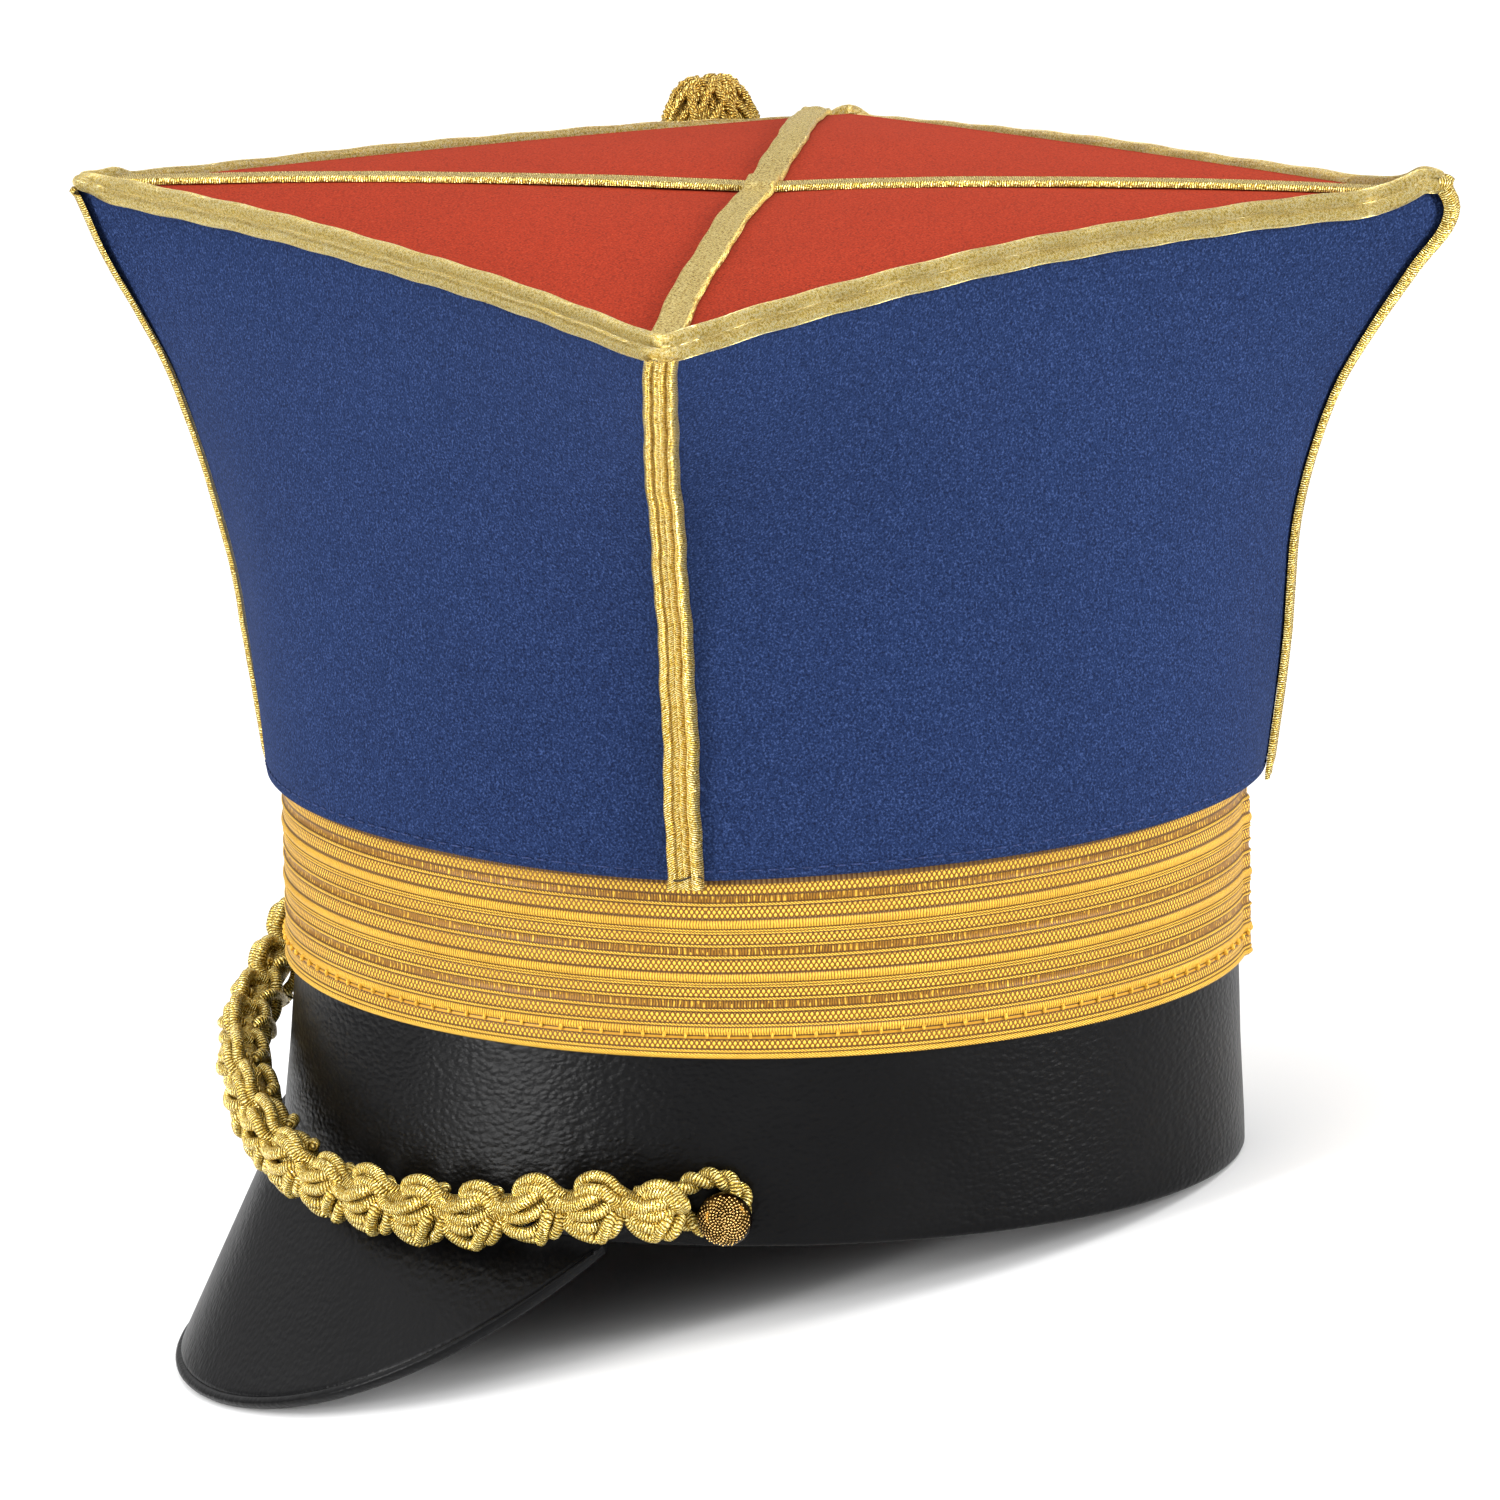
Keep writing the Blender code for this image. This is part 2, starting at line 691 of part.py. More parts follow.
def peak_section(turn):
    """Return the outer and inner points of the peak's section at a turn from the front, -1 to 1."""
    angle = -math.pi / 2 + turn * math.radians(PEAK_HALF_ANGLE)
    fade = math.sqrt(max(math.cos(turn * math.pi / 2), 0.0))
    half_x, half_y, middle = band_shape(0.0)
    out_x, out_y = math.cos(angle) / half_x, math.sin(angle) / half_y
    size = math.hypot(out_x, out_y)
    out_x, out_y = out_x / size, out_y / size
    slope = math.radians(blend(PEAK_SLOPE_FRONT, PEAK_SLOPE_END, turn * turn))
    length = PEAK_LENGTH * (1 - abs(turn) ** PEAK_BREADTH_POWER) ** PEAK_TAPER
    base = Vector((half_x * math.cos(angle), middle + half_y * math.sin(angle), 0.0))
    outward = Vector((out_x, out_y, 0.0))
    down = outward * math.cos(slope) - Vector((0.0, 0.0, math.sin(slope)))
    face = outward * math.sin(slope) + Vector((0.0, 0.0, math.cos(slope)))
    root = base + outward * (GAP + PEAK_LIP) + Vector((0.0, 0.0, PEAK_ROOT_HEIGHT * fade))
    lip_top = root + Vector((0.0, 0.0, PEAK_LIP_HEIGHT * fade))
    outer = [tuple(lip_top)]
    inner = [tuple(lip_top - outward * PEAK_LIP)]
    bead_rows = (0.94, 0.975, 1.0)
    rows = list(np.linspace(0.0, 0.9, PEAK_ROWS)) + list(bead_rows)
    for share in rows:
        bead = PEAK_BEAD if share in bead_rows[:2] else 0.0
        trim = PEAK_WALL * 0.3 if share == 1.0 else 0.0
        point = root + down * (length * share) + face * (bead - trim)
        wall = PEAK_WALL - 2 * trim + bead
        under = point - face * wall
        stand = (under - base).dot(outward)
        if stand < GAP:
            under = under + outward * (GAP - stand)
            under.z = point.z
        outer.append(tuple(point))
        inner.append(tuple(under))
    return outer, inner


def make_peak(shop):
    """The moulded peak, a leather shell that meets the band in a thin lip."""
    outer, inner = [], []
    for turn in np.sin(np.linspace(-math.pi / 2, math.pi / 2, PEAK_COLUMNS)) * PEAK_END_SHARE:
        over, under = peak_section(float(turn))
        outer.append(over)
        inner.append(under)
    mesh = solid_between("leather_peak", outer, inner)
    return shop.place("leather_peak", mesh, "black_leather")


def band_frame(angle_degrees, height):
    """Return a place on the band's outer face and the outward direction there."""
    half_x, half_y, middle = band_shape(height)
    angle = math.radians(angle_degrees)
    place = Vector((half_x * math.cos(angle), middle + half_y * math.sin(angle), height))
    outward = Vector((math.cos(angle) / half_x, math.sin(angle) / half_y, 0.0)).normalized()
    return place, outward


def make_button(shop):
    """The domed brass button with its shank, turned round its own axis."""
    radius, dome, shank = BUTTON_RADIUS, BUTTON_DOME, SHANK_RADIUS
    back = -(BUTTON_STANDOFF - GAP)
    profile = [(0.0, dome)]
    for share in (0.3, 0.58, 0.82, 0.97):
        profile.append((radius * share, dome * math.sqrt(1 - share ** 2)))
    profile += [(radius, 0.0), (radius * 0.93, -dome * 0.18)]
    profile += [(shank, -dome * 0.18), (shank, back), (0.0, back)]
    mesh = bpy.data.meshes.new("cord_button")
    edges = [(place, place + 1) for place in range(len(profile) - 1)]
    mesh.from_pydata([(x, 0.0, z) for x, z in profile], edges, [])
    piece = shop.place("cord_button", mesh, "brass")
    screw = piece.modifiers.new("turn", "SCREW")
    screw.steps = TURN_STEPS
    screw.render_steps = TURN_STEPS
    screw.use_merge_vertices = True
    screw.merge_threshold = 0.00001
    screw.use_smooth_shade = True
    place, outward = band_frame(BUTTON_ANGLE, BUTTON_HEIGHT)
    piece.location = place + outward * BUTTON_STANDOFF
    piece.rotation_euler = outward.to_track_quat("Z", "Y").to_euler()
    return piece


def knot_place():
    """Return the knot's middle, the edge's point behind it, and the outward direction there."""
    x, y = fine_quarter(1.0)
    run = np.concatenate(([0.0], np.cumsum(np.hypot(np.diff(x), np.diff(y)))))
    at = KNOT_EDGE_SHARE * run[-1]
    px, py = float(np.interp(at, run, x)), float(np.interp(at, run, y))
    height = float(edge_height(end_share(px, py, 1.0), -1, -1))
    edge = Vector((-px, body_shape(1.0)[2] - py, height))
    outward = Vector((-1.0, -1.0, 0.0)).normalized()
    braid_face = EDGE_OUTSIDE[7][0] * EDGE_BRAID_HEIGHT
    middle = edge + outward * (braid_face + 2 * GAP + KNOT_DEPTH / 2)
    middle.z -= KNOT_DROP
    return middle, edge, outward


def make_knot(shop):
    """The round knot of cord beside the right corner of the top."""
    middle, _, outward = knot_place()
    shape = bmesh.new()
    bmesh.ops.create_uvsphere(shape, u_segments=16, v_segments=10, radius=0.5)
    size = Matrix.Diagonal((KNOT_WIDTH, KNOT_DEPTH, KNOT_HEIGHT, 1.0))
    turn = Matrix.Rotation(math.atan2(outward.y, outward.x) + math.pi / 2, 4, "Z")
    bmesh.ops.transform(shape, matrix=turn @ size, verts=shape.verts)
    mesh = bpy.data.meshes.new("cord_knot")
    shape.to_mesh(mesh)
    shape.free()
    piece = shop.place("cord_knot", mesh, "gold_cord", 80.0)
    piece.location = middle
    return piece


def make_hook(shop):
    """The plain post between the front right panel and the knot."""
    _, edge, outward = knot_place()
    braid_face = EDGE_OUTSIDE[7][0] * EDGE_BRAID_HEIGHT
    end = edge + outward * (braid_face + GAP)
    end.z -= HOOK_DROP
    span = edge.z - hem_height(0.0)
    share = 1 - HOOK_DROP / span
    half_x, half_y, middle, power = body_shape(share)
    inward = 0.0
    step = GAP / 4
    while inside_measure(end - outward * inward, half_x, half_y, middle, power) > 1.0:
        inward += step
    length = inward - 3 * GAP
    bpy.ops.mesh.primitive_cylinder_add(vertices=16, radius=HOOK_RADIUS, depth=length)
    made = bpy.context.object
    mesh = made.data
    bpy.data.objects.remove(made, do_unlink=True)
    mesh.name = "cord_hook"
    piece = shop.place("cord_hook", mesh, "brass")
    piece.location = end - outward * (length / 2)
    piece.rotation_euler = outward.to_track_quat("Z", "Y").to_euler()
    return piece


def inside_measure(point, half_x, half_y, middle, power):
    """Return less than 1 for a point inside an outline and more outside it."""
    return (abs(point.x) / half_x) ** power + (abs(point.y - middle) / half_y) ** power


def smooth_route(points, spacing):
    """Read evenly spaced points from a smooth curve through the route's points."""
    nodes = np.array(points)
    before = 2 * nodes[0] - nodes[1]
    after = 2 * nodes[-1] - nodes[-2]
    padded = np.vstack((before, nodes, after))
    fine = []
    for place in range(1, len(padded) - 2):
        a, b, c, d = padded[place - 1:place + 3]
        for t in np.linspace(0.0, 1.0, 12, endpoint=False):
            curve = 2 * b + (c - a) * t + (2 * a - 5 * b + 4 * c - d) * t ** 2
            fine.append((curve + (3 * b - 3 * c + d - a) * t ** 3) / 2)
    fine.append(nodes[-1])
    fine = np.array(fine)
    run = np.concatenate(([0.0], np.cumsum(np.linalg.norm(np.diff(fine, axis=0), axis=1))))
    wanted = np.linspace(0.0, run[-1], int(round(run[-1] / spacing)) + 1)
    return [tuple(np.interp(at, run, fine[:, axis]) for axis in range(3)) for at in wanted]


def make_cord(shop):
    """The chin cord as a plain tube along its route."""
    points = smooth_route(CORD_ROUTE, CORD_SPACING)
    curve = bpy.data.curves.new("chin_cord", "CURVE")
    curve.dimensions = "3D"
    curve.bevel_depth = CORD_DIAMETER / 2
    curve.bevel_resolution = 2
    curve.use_fill_caps = True
    spline = curve.splines.new("POLY")
    spline.points.add(len(points) - 1)
    for place, point in enumerate(points):
        spline.points[place].co = (*point, 1.0)
    return shop.place("chin_cord", curve, "gold_cord")


def resting_points(shop):
    """Gather the corners of every piece that stands for itself, in the cap's own frame."""
    depsgraph = bpy.context.evaluated_depsgraph_get()
    points = []
    for piece in shop.collection.objects:
        if piece.type != "MESH" or piece.name in CORD_NODES:
            continue
        evaluated = piece.evaluated_get(depsgraph)
        mesh = evaluated.to_mesh()
        points.extend(piece.matrix_world @ vertex.co for vertex in mesh.vertices)
        evaluated.to_mesh_clear()
    return np.array(points)


def set_down(shop):
    """Tip the cap back until the rim and the peak rest on the floor, under the middle of its box."""
    bpy.context.view_layer.update()
    points = resting_points(shop)
    back = points[np.argmax(points[:, 1] - 1000 * np.abs(points[:, 2]))]
    forward = points[points[:, 1] < -RIM_HALF_LENGTH / 2]
    tilt = float(np.max(np.arctan2(back[2] - forward[:, 2], back[1] - forward[:, 1])))
    turn = Matrix.Rotation(-tilt, 3, "X")
    turned = points @ np.array(turn).T
    low, high = turned.min(axis=0), turned.max(axis=0)
    middle = (low + high) / 2
    shop.rest_pose.rotation_euler = (-tilt, 0.0, 0.0)
    shop.rest_pose.location = (-middle[0], -middle[1], -low[2])


def main():
    """Build the cap piece by piece and set it down."""
    clear_scene()
    shop = Shop()
    make_headband(shop)
    make_galloon(shop)
    for name, side, end, _ in PANELS:
        make_panel(shop, name, side, end)
    make_top(shop)
    make_edge_braid(shop)
    make_seam_braid(shop, "left_seam_braid", 1, 0)
    make_seam_braid(shop, "right_seam_braid", -1, 0)
    make_seam_braid(shop, "front_seam_braid", 0, -1)
    make_seam_braid(shop, "back_seam_braid", 0, 1)
    make_top_braid(shop, "front_to_back_braid", False, False)
    make_top_braid(shop, "side_to_side_braid", True, True)
    make_peak(shop)
    make_button(shop)
    make_knot(shop)
    make_hook(shop)
    make_cord(shop)
    set_down(shop)


main()
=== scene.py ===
"""Dresses the square-topped lancer's cap: cloth, leather, woven galloon, gold braids and plaited cord."""
import logging
import math
from collections.abc import Sequence
from dataclasses import dataclass, field
from enum import Enum

import bmesh
import bpy
import numpy as np
from mathutils import Matrix, Vector


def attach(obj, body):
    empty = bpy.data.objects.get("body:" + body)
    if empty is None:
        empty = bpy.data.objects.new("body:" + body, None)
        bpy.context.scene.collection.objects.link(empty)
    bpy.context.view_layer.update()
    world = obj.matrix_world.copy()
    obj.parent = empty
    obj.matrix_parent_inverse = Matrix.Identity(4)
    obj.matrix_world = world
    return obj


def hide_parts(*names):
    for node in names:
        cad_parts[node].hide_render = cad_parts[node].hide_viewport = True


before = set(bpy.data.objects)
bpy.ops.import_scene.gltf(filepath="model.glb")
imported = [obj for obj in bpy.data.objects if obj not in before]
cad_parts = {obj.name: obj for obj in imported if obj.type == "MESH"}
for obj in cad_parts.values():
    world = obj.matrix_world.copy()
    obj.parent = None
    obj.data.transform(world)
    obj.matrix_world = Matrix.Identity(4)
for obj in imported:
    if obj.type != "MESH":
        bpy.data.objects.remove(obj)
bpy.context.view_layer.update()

LOG = logging.getLogger("lancer_cap")
Points = np.ndarray
Colour = tuple[float, float, float, float]
MM = 1000.0
# the four quarters round the top: side, end, and whether the quarter is traced backwards
QUARTERS = ((1, 1, False), (-1, 1, True), (-1, -1, False), (1, -1, True))


class Ends(Enum):
    """How the open ends of a lofted piece are closed."""

    OPEN = "open"
    FAN = "fan"
    STRIP = "strip"


class Weave(Enum):
    """The kinds of stripe that the galloon is woven in, as the number that its mesh carries."""

    PLAIN = 0.0
    BEADS = 1.0
    SATIN = 2.0
    # SHADOW marks recessed satin ribs whose darker colour is painted shade
    SHADOW = 3.0
    CORD = 4.0


@dataclass(frozen=True)
class CapForm:
    """Sizes and sections of the cap in its own upright frame, in metres."""

    rim_half_width: float = 0.0860
    rim_half_length: float = 0.1034
    band_height: float = 0.0920
    band_wall: float = 0.0030
    band_taper: float = 0.0024
    band_rake: float = 0.0014
    galloon_wall: float = 0.0014
    galloon_low: float = 0.0405
    galloon_rise: float = 0.0025
    cloth_wall: float = 0.0020
    hem_low: float = 0.0786
    hem_rise: float = 0.0045
    hem_end_stand: float = 0.0012
    hem_clearance: float = 0.0008
    side_seam_forward: float = 0.0036
    top_half_diagonal: float = 0.1435
    top_shift_back: float = 0.0018
    edge_hollow: float = 0.0030
    edge_arch: float = 0.0026
    front_corner_height: float = 0.2045
    back_corner_height: float = 0.2035
    side_corner_height: float = 0.1970
    top_wall: float = 0.0020
    top_centre_height: float = 0.2062
    top_puff: float = 0.0016
    dome_power: float = 1.7
    gap: float = 0.0003
    tilt: float = math.radians(11.64255273)
    # how far the cloth is drawn out along the end seams, and up at their tips
    ridge_out: float = 0.0020
    front_tip_out: float = 0.0012
    back_bend_out: float = 0.0021
    back_bend_share: float = 0.955
    back_tip_in: float = 0.0028
    back_tip_lift: float = 0.0044
    front_tip_lift: float = 0.0012
    rest_place: tuple[float, float, float] = (0.0, -0.02612556, 0.02058415)
    # height share, flare, squareness, backward shift, forward lean of the side seams
    body_sections: tuple[tuple[float, ...], ...] = (
        (0.00, 0.00, 0.00, 0.33, 1.00),
        (0.15, 0.04, 0.08, 0.33, 1.00),
        (0.30, 0.08, 0.16, 0.15, 0.90),
        (0.45, 0.16, 0.29, -0.50, 0.60),
        (0.60, 0.30, 0.45, -0.67, 0.45),
        (0.70, 0.43, 0.58, -0.53, 0.40),
        (0.80, 0.62, 0.74, -0.20, 0.30),
        (0.90, 0.83, 0.90, 0.33, 0.15),
        (1.00, 1.00, 1.00, 1.00, 0.00),
    )
    # height share of the band, taper share, rake share
    band_sections: tuple[tuple[float, float, float], ...] = (
        (0.00, 0.0, 1.0),
        (0.05, 0.0, 1.0),
        (0.25, 0.6, 0.5),
        (0.45, 1.0, 0.0),
        (1.00, 1.0, 0.0),
    )
    # share of the arch along each panel's top edge, by side and end
    arches: tuple[tuple[int, int, float], ...] = ((1, -1, 0.9), (-1, -1, 0.5), (1, 1, 1.9), (-1, 1, 0.5))

    def column(self, number: int, share: float) -> float:
        """Read a column of the body's sections on a smooth curve.

        Args:
            number: the column.
            share: the height share, 0 at the hem and 1 at the top.

        Returns:
            The column's value there.
        """
        table = np.array(self.body_sections)
        heights, values = table[:, 0], table[:, number]
        slopes = np.gradient(values, heights)
        at = min(max(share, 0.0), 1.0)
        row = min(int(np.searchsorted(heights, at, side="right")) - 1, len(heights) - 2)
        span = heights[row + 1] - heights[row]
        t = (at - heights[row]) / span
        rise = values[row + 1] - values[row]
        start, end = slopes[row] * span, slopes[row + 1] * span
        bend = 3 * rise - 2 * start - end + t * (start + end - 2 * rise)
        return float(values[row] + t * (start + t * bend))

    def band(self, height: float) -> tuple[float, float, float]:
        """Return the band's outer half width, half length and middle at a height."""
        rows = np.array(self.band_sections)
        share = height / self.band_height
        taper = float(np.interp(share, rows[:, 0], rows[:, 1]))
        rake = float(np.interp(share, rows[:, 0], rows[:, 2]))
        return self.rim_half_width, self.rim_half_length - self.band_taper * taper, -self.band_rake * rake

    def body(self, share: float) -> tuple[float, float, float, float]:
        """Return the body's half width, half length, middle and outline power at a height share."""
        width, length, _ = self.band(self.hem_low)
        outward = self.gap + self.galloon_wall + self.hem_clearance + self.cloth_wall
        hem_x, hem_y = width + outward, length + outward + self.hem_end_stand
        flare, squareness = self.column(1, share), self.column(2, share)
        top_fullness = 0.5 - self.edge_hollow / (math.sqrt(2) * self.top_half_diagonal)
        fullness = 0.5 ** 0.5 + (top_fullness - 0.5 ** 0.5) * squareness
        half_x = hem_x + (self.top_half_diagonal - hem_x) * flare
        half_y = hem_y + (self.top_half_diagonal - hem_y) * flare
        middle = self.top_shift_back * self.column(3, share)
        return half_x, half_y, middle, math.log(0.5) / math.log(fullness)

    def quarter(self, share: float, inset: float = 0.0, seam: float = 0.0) -> tuple[Points, Points]:
        """Trace a quarter of the body's outline from the side seam to the end seam.

        Args:
            share: the height share.
            inset: how far the line lies inside the outline.
            seam: how far before each seam's plane it stops.

        Returns:
            The points' x and y, both positive.
        """
        half_x, half_y, _, power = self.body(share)
        angle = np.linspace(0.0, math.pi / 2, 600)
        x = half_x * np.cos(angle) ** (2 / power)
        y = half_y * np.sin(angle) ** (2 / power)
        along_x, along_y = np.gradient(x), np.gradient(y)
        length = np.hypot(along_x, along_y)
        x = x - along_y / length * inset
        y = y + along_x / length * inset
        keep = (x >= seam) & (y >= seam)
        return x[keep], y[keep]

    def place(self, x: Points, y: Points, share: float) -> tuple[Points, Points]:
        """Move points of the outline to their place, with the side seams a little forward."""
        half_x, _, middle, _ = self.body(share)
        forward = self.side_seam_forward * self.column(4, share)
        return x, middle + y - forward * (np.abs(x) / half_x) ** 8

    def end_share(self, x: Points, y: Points, share: float) -> Points:
        """Return how far points lie from the side seam, 0, towards the end seam, 1."""
        half_x, half_y, _, power = self.body(share)
        to_side = (np.abs(x) / half_x) ** power
        to_end = (np.abs(y) / half_y) ** power
        return to_end / (to_side + to_end + 1e-12)

    def edge_height(self, to_end: Points, side: int, end: int) -> Points:
        """Return the height of a panel's top edge."""
        arch = next(share for s, e, share in self.arches if (s, e) == (side, end))
        corner = self.back_corner_height if end > 0 else self.front_corner_height
        bow = 4 * self.edge_arch * arch * to_end * (1 - to_end)
        return self.side_corner_height + (corner - self.side_corner_height) * to_end + bow

    def hem_height(self, to_end: Points) -> Points:
        """Return the height of the blue hem."""
        return self.hem_low + self.hem_rise * to_end ** 0.6

    def body_height(self, to_end: Points, share: float, side: int, end: int) -> Points:
        """Return the height of a point of the body."""
        low = self.hem_height(to_end)
        return low + share * (self.edge_height(to_end, side, end) - low)

    def ridge(self, share: float, end: int) -> float:
        """Return how far the cloth is drawn out along the front or back seam."""
        out = self.ridge_out * min(share / 0.25, 1.0)
        if end < 0:
            return out + self.front_tip_out * share ** 8
        bend = self.back_bend_out * math.exp(-((share - self.back_bend_share) / 0.04) ** 2)
        turned_in = max(0.0, (share - 0.970) / 0.030)
        return out + bend - self.back_tip_in * turned_in ** 2

    def tip_lift(self, share: float, end: int) -> float:
        """Return how far the cloth is drawn up at the front or back corner."""
        return (self.back_tip_lift if end > 0 else self.front_tip_lift) * share ** 14

    def hem_at(self, angle: float) -> float:
        """Return the height of the blue hem at an angle round the band."""
        return float(self.hem_height(np.float64(math.sin(angle) ** 2)))

    def galloon_at(self, angle: float) -> float:
        """Return the height of the galloon's lower edge at an angle round the band."""
        return self.galloon_low + self.galloon_rise * math.sin(angle) ** 2

    def top_height(self, x: float, y: float) -> float:
        """Return the height of the red top's outer face."""
        half_x, half_y, middle, power = self.body(1.0)
        to_side = (abs(x) / half_x) ** power
        to_end = (abs(y - middle) / half_y) ** power
        total = to_side + to_end
        if total < 1e-9:
            return self.top_centre_height
        reach = min(total ** (1 / power), 1.0)
        side, end = (1 if x >= 0 else -1), (1 if y >= middle else -1)
        edge = float(self.edge_height(to_end / total, side, end)) + self.gap + self.top_wall
        dome = (self.top_centre_height - edge) * (1 - reach ** self.dome_power)
        return edge + dome + 4 * self.top_puff * reach * (1 - reach)

    def rest(self, points: Points) -> Points:
        """Turn points of the upright cap to the way it rests."""
        c, s = math.cos(self.tilt), math.sin(self.tilt)
        turn = np.array(((1.0, 0.0, 0.0), (0.0, c, s), (0.0, -s, c)))
        return np.asarray(points, dtype=float) @ turn.T + np.array(self.rest_place)

    def rest_direction(self, direction: Points) -> Points:
        """Turn a direction of the upright cap to the way it rests."""
        return self.rest(direction) - np.array(self.rest_place)


FORM = CapForm()


def flat_run(x: Points, y: Points) -> Points:
    """Return the distance along a flat line at each of its points."""
    return np.concatenate(([0.0], np.cumsum(np.hypot(np.diff(x), np.diff(y)))))


def spread(x: Points, y: Points, count: int) -> tuple[Points, Points]:
    """Return count points spaced evenly along a traced line."""
    run = flat_run(x, y)
    wanted = np.linspace(0.0, run[-1], count)
    return np.interp(wanted, run, x), np.interp(wanted, run, y)


def run_of(points: Points) -> Points:
    """Return the distance along a line of points at each of them."""
    return np.concatenate(([0.0], np.cumsum(np.linalg.norm(np.diff(points, axis=0), axis=1))))


def smooth_line(points: Sequence[Sequence[float]], spacing: float, closed: bool = False) -> Points:
    """Read evenly spaced points from a smooth curve through chosen ones.

    Args:
        points: the chosen points.
        spacing: the wanted distance between the new ones.
        closed: whether the line comes back to its start.

    Returns:
        The new points, without the repeated last one if the line is closed.
    """
    nodes = np.array(points, dtype=float)
    if closed:
        padded = np.vstack((nodes[-1], nodes, nodes[0], nodes[1]))
    else:
        padded = np.vstack((2 * nodes[0] - nodes[1], nodes, 2 * nodes[-1] - nodes[-2]))
    fine = []
    t = np.linspace(0.0, 1.0, 12, endpoint=False)[:, None]
    for at in range(1, len(padded) - 2):
        a, b, c, d = padded[at - 1:at + 3]
        curve = 2 * b + (c - a) * t
        curve = curve + (2 * a - 5 * b + 4 * c - d) * t ** 2 + (3 * b - 3 * c + d - a) * t ** 3
        fine.append(curve / 2)
    line = np.vstack(fine + [padded[-2][None, :]])
    run = run_of(line)
    count = max(int(round(run[-1] / spacing)), 4)
    wanted = np.linspace(0.0, run[-1], count + 1)
    even = np.stack([np.interp(wanted, run, line[:, axis]) for axis in range(3)], axis=1)
    return even[:-1] if closed else even


@dataclass
class Loft:
    """A mesh over rows and columns of points, as a piece is lofted through its sections.

    Args:
        points: the rows, in the upright cap's frame.
        uv: the place on the material of each point, with one row or column more where the loft wraps.
        wrap_rows: whether the last row joins the first.
        wrap_columns: whether the last column joins the first.
        ends: how the first and last rows are closed.
        marks: named numbers that the mesh carries for its material, one for each point.
    """

    points: Points
    uv: Points
    wrap_rows: bool = False
    wrap_columns: bool = True
    ends: Ends = Ends.OPEN
    marks: dict[str, Points] = field(default_factory=dict)

    def mesh(self, name: str) -> bpy.types.Mesh:
        """Make the mesh, turned to the way the cap rests."""
        rows, columns = self.points.shape[:2]
        verts = self.points.reshape(-1, 3)
        row_count = rows if self.wrap_rows else rows - 1
        column_count = columns if self.wrap_columns else columns - 1
        r, c = np.meshgrid(np.arange(row_count), np.arange(column_count), indexing="ij")
        r, c = r.ravel(), c.ravel()
        up, across = (r + 1) % rows, (c + 1) % columns
        low, high = r * columns, up * columns
        faces = np.stack((low + c, low + across, high + across, high + c), axis=1)
        uv = np.stack((self.uv[r, c], self.uv[r, c + 1], self.uv[r + 1, c + 1], self.uv[r + 1, c]), axis=1)
        face_list, loops = faces.tolist(), [uv.reshape(-1, 2)]
        marks = {key: value.ravel() for key, value in self.marks.items()}
        if self.ends is Ends.STRIP:
            half = columns // 2
            for row in (0, rows - 1):
                for at in range(half - 1):
                    corners = [at, at + 1, columns - 2 - at, columns - 1 - at]
                    face_list.append([row * columns + corner for corner in corners])
                    loops.append(self.uv[row, corners])
        if self.ends is Ends.FAN:
            for row in (0, rows - 1):
                pole = len(verts)
                verts = np.vstack((verts, self.points[row].mean(axis=0)))
                marks = {key: np.append(value, value[row * columns]) for key, value in marks.items()}
                middle = self.uv[row].mean(axis=0)
                for at in range(columns):
                    face_list.append([row * columns + at, row * columns + (at + 1) % columns, pole])
                    loops.append(np.stack((self.uv[row, at], self.uv[row, at + 1], middle)))
        mesh = bpy.data.meshes.new(name)
        mesh.from_pydata(FORM.rest(verts).tolist(), [], face_list)
        layer = mesh.uv_layers.new(name="UVMap")
        layer.uv.foreach_set("vector", np.vstack(loops).astype(np.float32).ravel())
        for key, value in marks.items():
            mark = mesh.attributes.new(key, "FLOAT", "POINT")
            mark.data.foreach_set("value", value.astype(np.float32))
        shape = bmesh.new()
        shape.from_mesh(mesh)
        bmesh.ops.recalc_face_normals(shape, faces=shape.faces)
        shape.to_mesh(mesh)
        shape.free()
        return mesh


def plain_uv(rows: int, columns: int, width: float = 1.0, height: float = 1.0) -> Points:
    """Return a flat spread of places on a material, rows along v and columns along u."""
    u, v = np.meshgrid(np.linspace(0, width, columns), np.linspace(0, height, rows))
    return np.stack((u, v), axis=2)


def wire_mesh(name: str, lines: Sequence[Points], closed: bool = False,
              thickness: Sequence[Points] | None = None) -> bpy.types.Mesh:
    """Make a mesh of bare edges along lines, as paths for a tree to sweep along.

    Args:
        name: the mesh's name.
        lines: each line's points in the upright cap's frame.
        closed: whether each line comes back to its start.
        thickness: each line's share of the full radius, point by point.

    Returns:
        The mesh, with the shares as its attribute "thickness".
    """
    verts, edges, shares = [], [], []
    for number, line in enumerate(lines):
        first = len(verts)
        verts.extend(FORM.rest(line).tolist())
        edges.extend((first + at, first + at + 1) for at in range(len(line) - 1))
        if closed:
            edges.append((first + len(line) - 1, first))
        shares.extend(np.ones(len(line)) if thickness is None else thickness[number])
    mesh = bpy.data.meshes.new(name)
    mesh.from_pydata(verts, edges, [])
    mark = mesh.attributes.new("thickness", "FLOAT", "POINT")
    mark.data.foreach_set("value", np.array(shares, dtype=np.float32))
    return mesh


def linear(code: str) -> Colour:
    """Turn an sRGB hex code to a linear colour."""
    channels = [int(code[at:at + 2], 16) / 255 for at in (1, 3, 5)]
    made = [value / 12.92 if value <= 0.04045 else ((value + 0.055) / 1.055) ** 2.4 for value in channels]
    return made[0], made[1], made[2], 1.0


